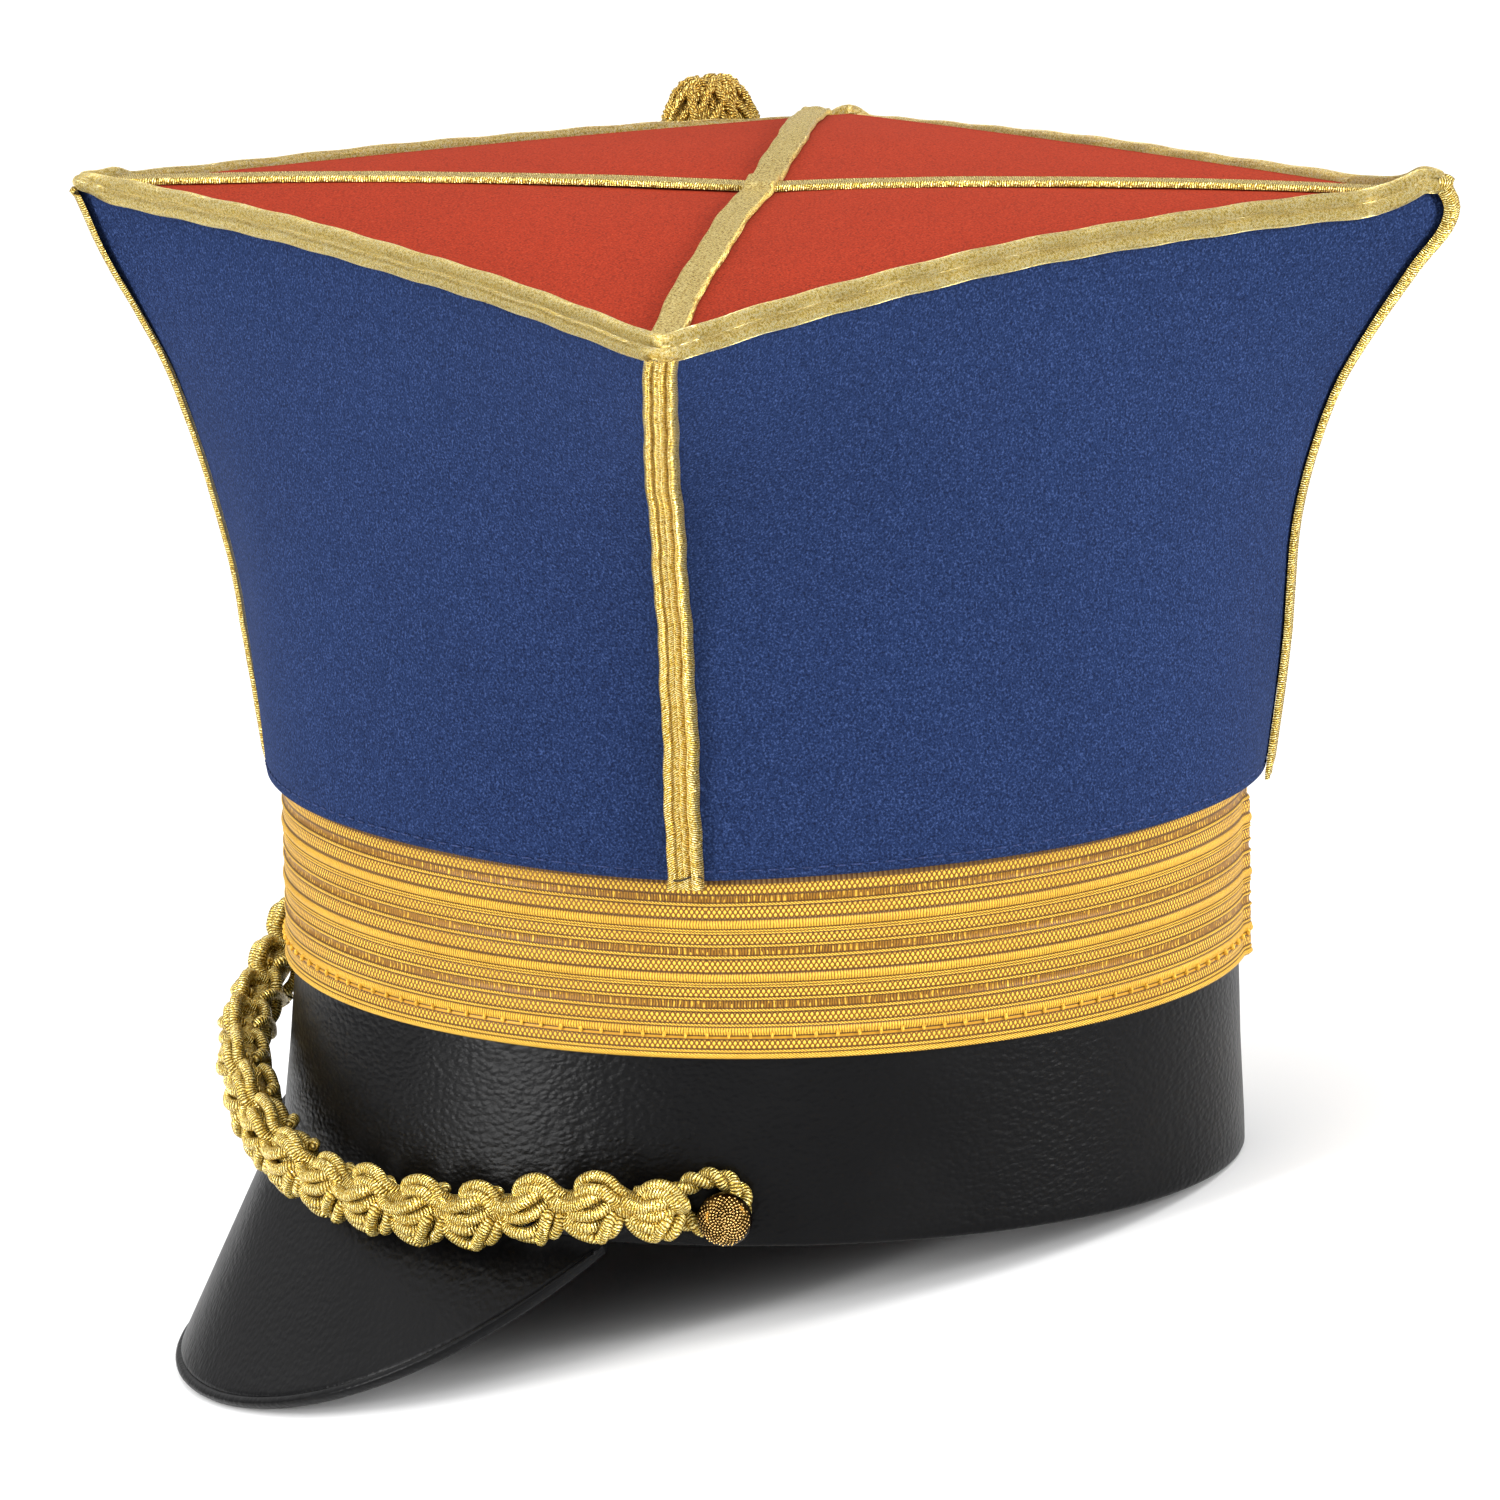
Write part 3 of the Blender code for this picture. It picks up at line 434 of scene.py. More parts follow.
def add(tree: bpy.types.NodeTree, kind: str, settings: dict | None = None,
        inputs: dict | None = None) -> bpy.types.Node:
    """Add a node with its settings and links.

    Args:
        tree: the tree that takes it.
        kind: the node's type.
        settings: its properties.
        inputs: by input name or number, an output socket to link or a value to set.

    Returns:
        The node.
    """
    node = tree.nodes.new(kind)
    for name, value in (settings or {}).items():
        setattr(node, name, value)
    for key, value in (inputs or {}).items():
        socket = node.inputs[key]
        if isinstance(value, bpy.types.NodeSocket):
            tree.links.new(value, socket)
        else:
            socket.default_value = value
    return node


class Form(Enum):
    """The group inputs' kinds."""

    SHAPE = "NodeSocketGeometry"
    LENGTH = "NodeSocketFloat"
    COUNT = "NodeSocketInt"
    SIZE = "NodeSocketVector"
    FINISH = "NodeSocketMaterial"


class Tree:
    """A Geometry Nodes tree with named inputs, and its run on a mesh."""

    def __init__(self, name: str, inputs: dict[str, Form]) -> None:
        """Make the tree with its group input and output.

        Args:
            name: the tree's name.
            inputs: its inputs' names and kinds after the geometry.
        """
        self.tree = bpy.data.node_groups.new(name, "GeometryNodeTree")
        face = self.tree.interface
        face.new_socket("Geometry", in_out="INPUT", socket_type=Form.SHAPE.value)
        self.keys = {
            key: face.new_socket(key, in_out="INPUT", socket_type=kind.value).identifier
            for key, kind in inputs.items()
        }
        face.new_socket("Geometry", in_out="OUTPUT", socket_type=Form.SHAPE.value)
        self.source = add(self.tree, "NodeGroupInput").outputs

    def end(self, shape: bpy.types.NodeSocket) -> None:
        """Close the tree with Realize Instances and Set Material."""
        real = add(self.tree, "GeometryNodeRealizeInstances", None, {0: shape}).outputs[0]
        finish = {0: real, "Material": self.source["Finish"]}
        dressed = add(self.tree, "GeometryNodeSetMaterial", None, finish)
        add(self.tree, "NodeGroupOutput", None, {0: dressed.outputs[0]})

    def run(self, mesh: bpy.types.Mesh, values: dict[str, object]) -> bpy.types.Mesh:
        """Run the tree on a mesh.

        Args:
            mesh: the mesh that it starts from.
            values: the inputs' values by name.

        Returns:
            The result as a plain mesh.
        """
        holder = bpy.data.objects.new("holder", mesh)
        bpy.context.scene.collection.objects.link(holder)
        modifier = holder.modifiers.new("tree", "NODES")
        modifier.node_group = self.tree
        for key, value in values.items():
            modifier[self.keys[key]] = value
        depsgraph = bpy.context.evaluated_depsgraph_get()
        made = bpy.data.meshes.new_from_object(holder.evaluated_get(depsgraph))
        bpy.data.objects.remove(holder, do_unlink=True)
        made.name = mesh.name
        return made


def store(tree: bpy.types.NodeTree, shape: bpy.types.NodeSocket, name: str, value: bpy.types.NodeSocket,
          kind: str = "FLOAT", domain: str = "POINT") -> bpy.types.NodeSocket:
    """Store a named attribute on a shape.

    Args:
        tree: the tree that takes the node.
        shape: the shape's socket.
        name: the attribute's name.
        value: the socket of its values.
        kind: its data type.
        domain: what it lies on.

    Returns:
        The socket of the shape with the attribute.
    """
    return add(tree, "GeometryNodeStoreNamedAttribute", {"data_type": kind, "domain": domain},
               {0: shape, "Name": name, "Value": value}).outputs[0]


def stored(tree: bpy.types.NodeTree, name: str) -> bpy.types.NodeSocket:
    """Return the socket that reads a named number."""
    return add(tree, "GeometryNodeInputNamedAttribute", {"data_type": "FLOAT"}, {"Name": name}).outputs[0]


def sweep_tree() -> Tree:
    """Build the tree that sweeps a round cord along a path and spreads its material along and round it."""
    made = Tree("cord along a path", {"Radius": Form.LENGTH, "Sides": Form.COUNT, "Finish": Form.FINISH})
    tree, source = made.tree, made.source
    curve = add(tree, "GeometryNodeMeshToCurve", None, {0: source["Geometry"]}).outputs[0]
    place = add(tree, "GeometryNodeSplineParameter").outputs
    marked = store(tree, curve, "along", place["Length"])
    ring = add(tree, "GeometryNodeCurveArc", {"mode": "RADIUS"},
               {"Resolution": source["Sides"], "Radius": source["Radius"],
                "Sweep Angle": math.tau}).outputs[0]
    turned = store(tree, ring, "round", place["Factor"])
    tube = add(tree, "GeometryNodeCurveToMesh", None,
               {"Curve": marked, "Profile Curve": turned, "Scale": stored(tree, "thickness")}).outputs[0]
    pair = add(tree, "ShaderNodeCombineXYZ", None, {0: stored(tree, "along"), 1: stored(tree, "round")})
    spread_out = store(tree, tube, "UVMap", pair.outputs[0], "FLOAT2", "CORNER")
    merged = add(tree, "GeometryNodeMergeByDistance", None, {0: spread_out, "Distance": 0.000002}).outputs[0]
    smooth = add(tree, "GeometryNodeSetShadeSmooth", None, {0: merged}).outputs[0]
    made.end(smooth)
    return made


def stitch_tree() -> Tree:
    """Build the tree that sets stitches of one size at even steps along a path."""
    made = Tree("stitches along a path", {"Step": Form.LENGTH, "Size": Form.SIZE, "Finish": Form.FINISH})
    tree, source = made.tree, made.source
    curve = add(tree, "GeometryNodeMeshToCurve", None, {0: source["Geometry"]}).outputs[0]
    spots = add(tree, "GeometryNodeCurveToPoints", {"mode": "LENGTH"},
                {0: curve, "Length": source["Step"]}).outputs
    stitch = add(tree, "GeometryNodeMeshUVSphere", None,
                 {"Segments": 8, "Rings": 6, "Radius": 0.5}).outputs[0]
    uneven = add(tree, "FunctionNodeRandomValue", {"data_type": "FLOAT_VECTOR"},
                 {"Min": (0.9, 0.9, 0.84), "Max": (1.1, 1.1, 1.1), "Seed": 4}).outputs[0]
    size = add(tree, "ShaderNodeVectorMath", {"operation": "MULTIPLY"},
               {0: uneven, 1: source["Size"]}).outputs[0]
    set_out = add(tree, "GeometryNodeInstanceOnPoints", None,
                  {"Points": spots["Points"], "Instance": stitch, "Rotation": spots["Rotation"],
                   "Scale": size})
    made.end(set_out.outputs[0])
    return made


def grain_tree() -> Tree:
    """Build the tree that sets a raised grain at each point of a mesh."""
    made = Tree("grains on a surface", {"Radius": Form.LENGTH, "Finish": Form.FINISH})
    tree, source = made.tree, made.source
    grain = add(tree, "GeometryNodeMeshIcoSphere", None, {"Radius": 1.0, "Subdivisions": 2}).outputs[0]
    uneven = add(tree, "FunctionNodeRandomValue", {"data_type": "FLOAT"},
                 {2: 0.88, 3: 1.08, "Seed": 11}).outputs[1]
    size = add(tree, "ShaderNodeMath", {"operation": "MULTIPLY"},
               {0: uneven, 1: source["Radius"]}).outputs[0]
    set_out = add(tree, "GeometryNodeInstanceOnPoints", None,
                  {"Points": source["Geometry"], "Instance": grain, "Scale": size}).outputs[0]
    smooth = add(tree, "GeometryNodeSetShadeSmooth", None, {0: set_out}).outputs[0]
    made.end(smooth)
    return made


class Paint:
    """A material in the making: its tree, its shader and a few sums of its own."""

    def __init__(self, name: str, constants: dict[str, object]) -> None:
        """Start a material.

        Args:
            name: what the real material is.
            constants: what is the same all over, set on the shader's own sockets.
        """
        self.material = bpy.data.materials.new(name)
        self.material.use_nodes = True
        self.tree = self.material.node_tree
        self.shader = self.tree.nodes["Principled BSDF"]
        for key, value in constants.items():
            self.shader.inputs[key].default_value = value

    def sum(self, operation: str, a: object, b: object = 0.0) -> bpy.types.NodeSocket:
        """Work out one number from two."""
        return add(self.tree, "ShaderNodeMath", {"operation": operation}, {0: a, 1: b}).outputs[0]

    def plus(self, a: object, b: object) -> bpy.types.NodeSocket:
        """Add two numbers."""
        return self.sum("ADD", a, b)

    def times(self, a: object, b: object) -> bpy.types.NodeSocket:
        """Multiply two numbers."""
        return self.sum("MULTIPLY", a, b)

    def wander(self, place: bpy.types.NodeSocket, size_mm: float, reach_mm: float) -> bpy.types.NodeSocket:
        """Return a soft shift to and fro, whose waves and reach have sizes in millimetres."""
        return self.times(self.sum("SUBTRACT", self.noise(place, size_mm, 1.0), 0.5), reach_mm / MM)

    def object_place(self, stretch: tuple[float, float, float] = (1.0, 1.0, 1.0)) -> bpy.types.NodeSocket:
        """Return the place on the piece in metres, stretched along its axes."""
        place = add(self.tree, "ShaderNodeTexCoord").outputs["Object"]
        return add(self.tree, "ShaderNodeMapping", None, {"Vector": place, "Scale": stretch}).outputs[0]

    def noise(self, place: bpy.types.NodeSocket, size_mm: float, detail: float = 2.0,
              rough: float = 0.5) -> bpy.types.NodeSocket:
        """Return soft noise whose features have a size in millimetres."""
        return add(self.tree, "ShaderNodeTexNoise", None,
                   {"Vector": place, "Scale": MM / size_mm, "Detail": detail,
                    "Roughness": rough}).outputs[0]

    def ramp(self, value: bpy.types.NodeSocket, low: float, high: float) -> bpy.types.NodeSocket:
        """Return 0 below low and 1 above high, smoothly between."""
        return add(self.tree, "ShaderNodeMapRange", {"interpolation_type": "SMOOTHSTEP"},
                   {0: value, 1: low, 2: high}).outputs[0]

    def mix(self, share: object, a: object, b: object, blend: str = "MIX") -> bpy.types.NodeSocket:
        """Mix two colours."""
        settings = {"data_type": "RGBA", "blend_type": blend}
        return add(self.tree, "ShaderNodeMix", settings, {0: share, 6: a, 7: b}).outputs[2]

    def between(self, share: object, a: str, b: str) -> bpy.types.NodeSocket:
        """Mix two colours that are given as hex codes."""
        return self.mix(share, linear(a), linear(b))

    def wave(self, value: bpy.types.NodeSocket, per_metre: float) -> bpy.types.NodeSocket:
        """Return a wave from 0 to 1 with so many crests a metre."""
        turned = self.sum("SINE", self.times(value, per_metre * math.tau))
        return self.plus(self.times(turned, 0.5), 0.5)

    def uv(self) -> tuple[bpy.types.NodeSocket, bpy.types.NodeSocket]:
        """Return the two places of the piece's own UV map, in metres along and across."""
        place = add(self.tree, "ShaderNodeUVMap", {"uv_map": "UVMap"}).outputs[0]
        parts = add(self.tree, "ShaderNodeSeparateXYZ", None, {0: place}).outputs
        return parts[0], parts[1]

    def finish(self, colour: object, height: bpy.types.NodeSocket | None = None, depth_mm: float = 0.1,
               strength: float = 1.0, roughness: bpy.types.NodeSocket | None = None) -> bpy.types.Material:
        """Link the colour, relief and roughness, and return the material."""
        self.tree.links.new(colour, self.shader.inputs["Base Color"])
        if height is not None:
            bump = add(self.tree, "ShaderNodeBump", None,
                       {"Height": height, "Distance": depth_mm / MM, "Strength": strength}).outputs[0]
            self.tree.links.new(bump, self.shader.inputs["Normal"])
        if roughness is not None:
            self.tree.links.new(roughness, self.shader.inputs["Roughness"])
        return self.material


@dataclass(frozen=True)
class Felt:
    """Fulled wool cloth: matte, with a short nap that gives soft specks and a pale bloom at the edges."""

    name: str
    base: str
    dark: str
    light: str
    fibre_mm: float = 0.47
    tuft_mm: float = 2.6
    worn_mm: float = 38.0
    shaded: Colour = (0.80, 0.80, 0.80, 1.0)
    lit: Colour = (1.45, 1.45, 1.45, 1.0)

    def make(self) -> bpy.types.Material:
        """Build the material."""
        paint = Paint(self.name, {"Roughness": 0.92, "Specular IOR Level": 0.12, "Sheen Weight": 0.14,
                                  "Sheen Roughness": 0.5, "Sheen Tint": linear(self.light)})
        place = paint.object_place()
        fibre = paint.noise(place, self.fibre_mm, 3.0, 0.65)
        tuft = paint.noise(place, self.tuft_mm, 2.0)
        worn = paint.noise(place, self.worn_mm, 2.0)
        colour = paint.between(paint.ramp(fibre, 0.36, 0.50), self.dark, self.base)
        colour = paint.mix(paint.times(paint.ramp(fibre, 0.53, 0.68), 0.75), colour, linear(self.light))
        tone = paint.plus(paint.times(tuft, 0.30), paint.times(worn, 0.30))
        colour = paint.mix(0.9, colour, paint.mix(tone, self.shaded, self.lit), "MULTIPLY")
        height = paint.plus(fibre, paint.times(tuft, 0.8))
        return paint.finish(colour, height, 0.22, 0.55)


@dataclass(frozen=True)
class Leather:
    """Drum-dyed calf leather: a fine pebbled grain with creases along the band, under a dull wax shine."""

    name: str
    base: str
    worn: str
    pebble_mm: float = 1.0
    depth_mm: float = 0.21
    roughness: float = 0.37
    stretch: tuple[float, float, float] = (0.62, 0.62, 1.0)

    def make(self) -> bpy.types.Material:
        """Build the material."""
        paint = Paint(self.name, {"Specular IOR Level": 0.11, "IOR": 1.5})
        place = paint.object_place(self.stretch)
        bent = paint.noise(place, 5.0, 2.0)
        shifted = add(paint.tree, "ShaderNodeVectorMath", {"operation": "MULTIPLY_ADD"},
                      {0: bent, 1: (0.0011, 0.0011, 0.0011), 2: place}).outputs[0]
        pebble = add(paint.tree, "ShaderNodeTexVoronoi", {"feature": "SMOOTH_F1"},
                     {"Vector": shifted, "Scale": MM / self.pebble_mm, "Smoothness": 0.6}).outputs[0]
        fine = paint.noise(place, 0.7, 3.0, 0.6)
        broad = paint.noise(place, 24.0, 2.0)
        height = paint.plus(paint.times(pebble, -0.9), paint.times(fine, 0.55))
        colour = paint.between(paint.ramp(broad, 0.45, 0.8), self.base, self.worn)
        rough = paint.plus(paint.times(paint.sum("SUBTRACT", broad, 0.5), 0.16), self.roughness)
        return paint.finish(colour, height, self.depth_mm, 0.8, rough)


@dataclass(frozen=True)
class GoldBraid:
    """Flat braid of gilt thread: fine threads run across it, with painted shade in the gaps between them,
    and painted highlights and painted shade where a fine noise glints.

    The real threads are about 0.25 mm wide, and are drawn at 0.5 mm so that they show.
    """

    name: str
    # light is the colour of the painted highlights, dark the colour of the painted shade between the threads
    # and in patches
    light: str = "#FFF6C2"
    base: str = "#F0C84E"
    dark: str = "#573604"
    thread_mm: float = 0.5
    slant: float = 0.6
    metallic: float = 0.86
    roughness: float = 0.32
    depth_mm: float = 0.20
    across_scale: float = 1.0

    def make(self) -> bpy.types.Material:
        """Build the material."""
        paint = Paint(self.name, {"Metallic": self.metallic, "Roughness": self.roughness})
        along, across = paint.uv()
        place = paint.object_place()
        wander = paint.wander(place, 1.6, 0.7)
        slanted = paint.plus(paint.times(across, self.slant * self.across_scale), along)
        thread = paint.wave(paint.plus(slanted, wander), MM / self.thread_mm)
        glint = paint.noise(place, 0.48, 2.0, 0.65)
        soft = paint.noise(place, 3.2, 2.0)
        # painted shade: the gaps between the threads are darkened
        colour = paint.between(paint.ramp(thread, 0.0, 0.42), self.dark, self.base)
        # painted highlight: glints of the light colour on the thread crests where the noise is high
        painted_glint = paint.times(paint.ramp(glint, 0.45, 0.57), paint.ramp(thread, 0.25, 0.7))
        colour = paint.mix(painted_glint, colour, linear(self.light))
        # painted shade: patches of the dark colour where the noise is low
        shade = paint.times(paint.ramp(glint, 0.46, 0.34), 0.62)
        colour = paint.mix(shade, colour, linear(self.dark))
        colour = paint.mix(paint.times(soft, 0.2), colour, linear(self.base))
        height = paint.plus(thread, paint.times(glint, 0.75))
        rough = paint.plus(paint.times(glint, 0.2), self.roughness - 0.12)
        return paint.finish(colour, height, self.depth_mm, 0.9, rough)


@dataclass(frozen=True)
class Galloon:
    """Woven silk galloon: stripes of small beads, satin ribs, shadowed ribs and thin cords, with painted
    shade along the grooves between stripes.

    Satin threads of about 0.3 mm are drawn at 0.55 mm so that they show.
    """

    name: str = "gold_silk_galloon"
    bright: str = "#EDBC40"
    base: str = "#B4821A"
    bead_dark: str = "#6C450C"
    satin: tuple[str, str] = ("#875C0E", "#D6A834")
    # the shadow ribs' colours are the satin painted darker as shade
    shadow: tuple[str, str] = ("#523408", "#8C6014")
    cord: tuple[str, str] = ("#93640F", "#F0C24A")
    faded: str = "#9A6A16"
    # colour of the painted shade along the grooves between stripes
    groove_shade: str = "#482A06"
    bead_mm: float = 1.02
    net: float = 0.62
    satin_mm: float = 0.55
    sparse_mm: float = 1.15
    lay_mm: float = 0.7
    lay_slant: float = 1.6

    def make(self) -> bpy.types.Material:
        """Build the material."""
        paint = Paint(self.name, {"Metallic": 0.18, "Specular IOR Level": 0.30, "Sheen Weight": 0.05,
                                  "Sheen Roughness": 0.3, "Sheen Tint": linear("#FFE08A")})
        along, across = paint.uv()
        place = paint.object_place()
        kind = add(paint.tree, "ShaderNodeAttribute", {"attribute_name": "weave"}).outputs["Fac"]
        masks = {
            weave: add(paint.tree, "ShaderNodeMath", {"operation": "COMPARE"},
                       {0: kind, 1: weave.value, 2: 0.3}).outputs[0]
            for weave in (Weave.BEADS, Weave.SATIN, Weave.SHADOW, Weave.CORD)
        }
        noise = paint.noise(place, 0.5, 2.0, 0.6)
        # beads stand in a diamond net: two waves that cross
        slanted = paint.times(across, self.net)
        first = paint.wave(paint.plus(along, slanted), MM / self.bead_mm)
        other = paint.wave(paint.sum("SUBTRACT", along, slanted), MM / self.bead_mm)
        beads = paint.times(first, other)
        upright = paint.plus(along, paint.wander(place, 2.2, 0.6))
        satin = paint.wave(upright, MM / self.satin_mm)
        sparse = paint.times(paint.wave(upright, MM / self.sparse_mm), paint.noise(place, 1.3, 1.0))
        sparse = paint.ramp(sparse, 0.40, 0.56)
        lay = paint.wave(paint.plus(along, paint.times(across, self.lay_slant)), MM / self.lay_mm)
        broad = paint.noise(place, 14.0, 2.0)
        threads = paint.plus(satin, noise)
        shadow = paint.between(paint.ramp(threads, 0.55, 1.3), *self.shadow)
        stripes = {
            Weave.BEADS: paint.between(paint.ramp(beads, 0.04, 0.42), self.bead_dark, self.bright),
            Weave.SATIN: paint.between(paint.ramp(threads, 0.50, 1.20), *self.satin),
            Weave.SHADOW: paint.mix(paint.times(sparse, 0.75), shadow, linear(self.bright)),
            Weave.CORD: paint.between(paint.ramp(lay, 0.1, 0.7), *self.cord),
        }
        colour = linear(self.base)
        for weave, stripe in stripes.items():
            colour = paint.mix(masks[weave], colour, stripe)
        colour = paint.mix(paint.times(paint.ramp(broad, 0.35, 0.75), 0.25), colour, linear(self.faded))
        # painted shade: the grooves between stripes are darkened
        groove_shade = add(paint.tree, "ShaderNodeAttribute", {"attribute_name": "groove_shade"}).outputs["Fac"]
        colour = paint.mix(paint.times(paint.ramp(groove_shade, 0.25, 0.85), 0.9), colour, linear(self.groove_shade))
        height = paint.times(masks[Weave.BEADS], beads)
        for weave, relief, share in ((Weave.SATIN, satin, 0.4), (Weave.SHADOW, sparse, 0.6),
                                     (Weave.CORD, lay, 0.6)):
            height = paint.plus(height, paint.times(masks[weave], paint.times(relief, share)))
        rough = paint.plus(paint.times(noise, 0.2), 0.38)
        return paint.finish(colour, height, 0.30, 0.8, rough)


@dataclass(frozen=True)
class Brass:
    """Struck and gilt brass: warm metal, a little duller in broad random patches."""

    name: str = "struck_gilt_brass"
    base: str = "#B89E66"
    dull: str = "#7C6434"

    def make(self) -> bpy.types.Material:
        """Build the material."""
        paint = Paint(self.name, {"Metallic": 1.0})
        place = paint.object_place()
        broad = paint.noise(place, 3.0, 2.0)
        fine = paint.noise(place, 0.5, 2.0)
        colour = paint.between(paint.ramp(broad, 0.4, 0.75), self.base, self.dull)
        rough = paint.plus(paint.times(broad, 0.1), 0.14)
        return paint.finish(colour, fine, 0.03, 0.4, rough)


@dataclass(frozen=True)
class SewingThread:
    """Waxed linen thread, dull and slightly twisted."""

    name: str
    base: str
    light: str

    def make(self) -> bpy.types.Material:
        """Build the material."""
        paint = Paint(self.name, {"Roughness": 0.75, "Specular IOR Level": 0.3})
        place = paint.object_place()
        twist = paint.noise(place, 0.45, 2.0)
        colour = paint.between(paint.ramp(twist, 0.35, 0.7), self.base, self.light)
        return paint.finish(colour, twist, 0.06, 0.6)


@dataclass(frozen=True)
class FloorPaper:
    """Matt studio paper, plain and pale."""

    name: str = "pale_studio_paper"
    base: str = "#F4F4F4"
    specks: str = "#EFEFEF"

    def make(self) -> bpy.types.Material:
        """Build the material."""
        paint = Paint(self.name, {"Roughness": 0.9, "Specular IOR Level": 0.1})
        grain = paint.noise(paint.object_place(), 900.0, 1.0)
        return paint.finish(paint.between(paint.times(grain, 0.1), self.base, self.specks))


class Wardrobe:
    """All finishes, made once, and the trees."""

    def __init__(self) -> None:
        """Make the materials and trees."""
        self.blue = Felt("blue_wool_felt", "#162547", "#0A142E", "#374974").make()
        self.red = Felt("red_wool_felt", "#962A12", "#6A1C0B", "#B04528").make()
        self.band_leather = Leather("black_calf_leather", "#040405", "#09090A").make()
        self.peak_leather = Leather("black_peak_leather", "#050506", "#0A0A0B", 1.1, 0.17, 0.35,
                                    (0.8, 0.8, 0.8)).make()
        self.galloon = Galloon().make()
        # the gilt braid and cord finishes paint highlights and shade into their colour
        self.braid = GoldBraid("gilt_thread_braid").make()
        self.edge_braid = GoldBraid("bright_gilt_braid", "#FFF8CC", "#F8D868", "#6A4608", metallic=0.70,
                                    roughness=0.36).make()
        self.top_braid = GoldBraid("dulled_gilt_braid", "#FFF0A8", "#C8A644", "#503608", 0.5, 0.5).make()
        self.cord = GoldBraid("gilt_wound_cord", "#FFF4AE", "#DEB844", "#3A2204", thread_mm=0.55, slant=0.35,
                              metallic=0.72, roughness=0.32, depth_mm=0.26, across_scale=0.0013).make()
        self.knot_cord = GoldBraid("gilt_twisted_cord", "#F8E28A", "#CFA23C", "#402806", thread_mm=0.6,
                                   slant=1.0, metallic=0.72, roughness=0.34, depth_mm=0.24,
                                   across_scale=0.0018).make()
        self.brass = Brass().make()
        # painted shade: a very dark brass laid under the button's grains, so the gaps between them read dark
        self.painted_shade_brass = Brass("gilt_brass_painted_shade", "#3A2608", "#1E1203").make()
        self.grain_brass = Brass("polished_gilt_brass", "#D2B070", "#8A6C36").make()
        self.blue_thread = SewingThread("dark_blue_thread", "#131F42", "#2B3D6C").make()
        self.black_thread = SewingThread("black_thread", "#2A2418", "#4B4230").make()
        self.gold_thread = SewingThread("gold_silk_thread", "#BE8A22", "#E0B444").make()
        self.sweep = sweep_tree()
        self.stitches = stitch_tree()
        self.grains = grain_tree()


class Fitter:
    """Sets finished meshes on the cap's body, names them and hides the CAD nodes that each one stands for.
    """

    def fit(self, name: str, mesh: bpy.types.Mesh, nodes: Sequence[str] = (),
            material: bpy.types.Material | None = None, smooth_angle: float = 60.0) -> bpy.types.Object:
        """Make a piece of a mesh and let it ride on the cap.

        Args:
            name: the piece's name.
            mesh: its finished mesh, in the way the cap rests.
            nodes: the CAD nodes that it stands for.
            material: its finish, if the mesh doesn't have it yet.
            smooth_angle: the sharpest angle that is shaded smooth, in degrees.

        Returns:
            The piece.
        """
        if material is not None:
            mesh.materials.clear()
            mesh.materials.append(material)
        mesh.shade_smooth()
        mesh.set_sharp_from_angle(angle=math.radians(smooth_angle))
        piece = bpy.data.objects.new(name, mesh)
        bpy.context.scene.collection.objects.link(piece)
        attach(piece, "root")
        if nodes:
            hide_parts(*nodes)
        LOG.info("%s: %d faces", name, len(mesh.polygons))
        return piece


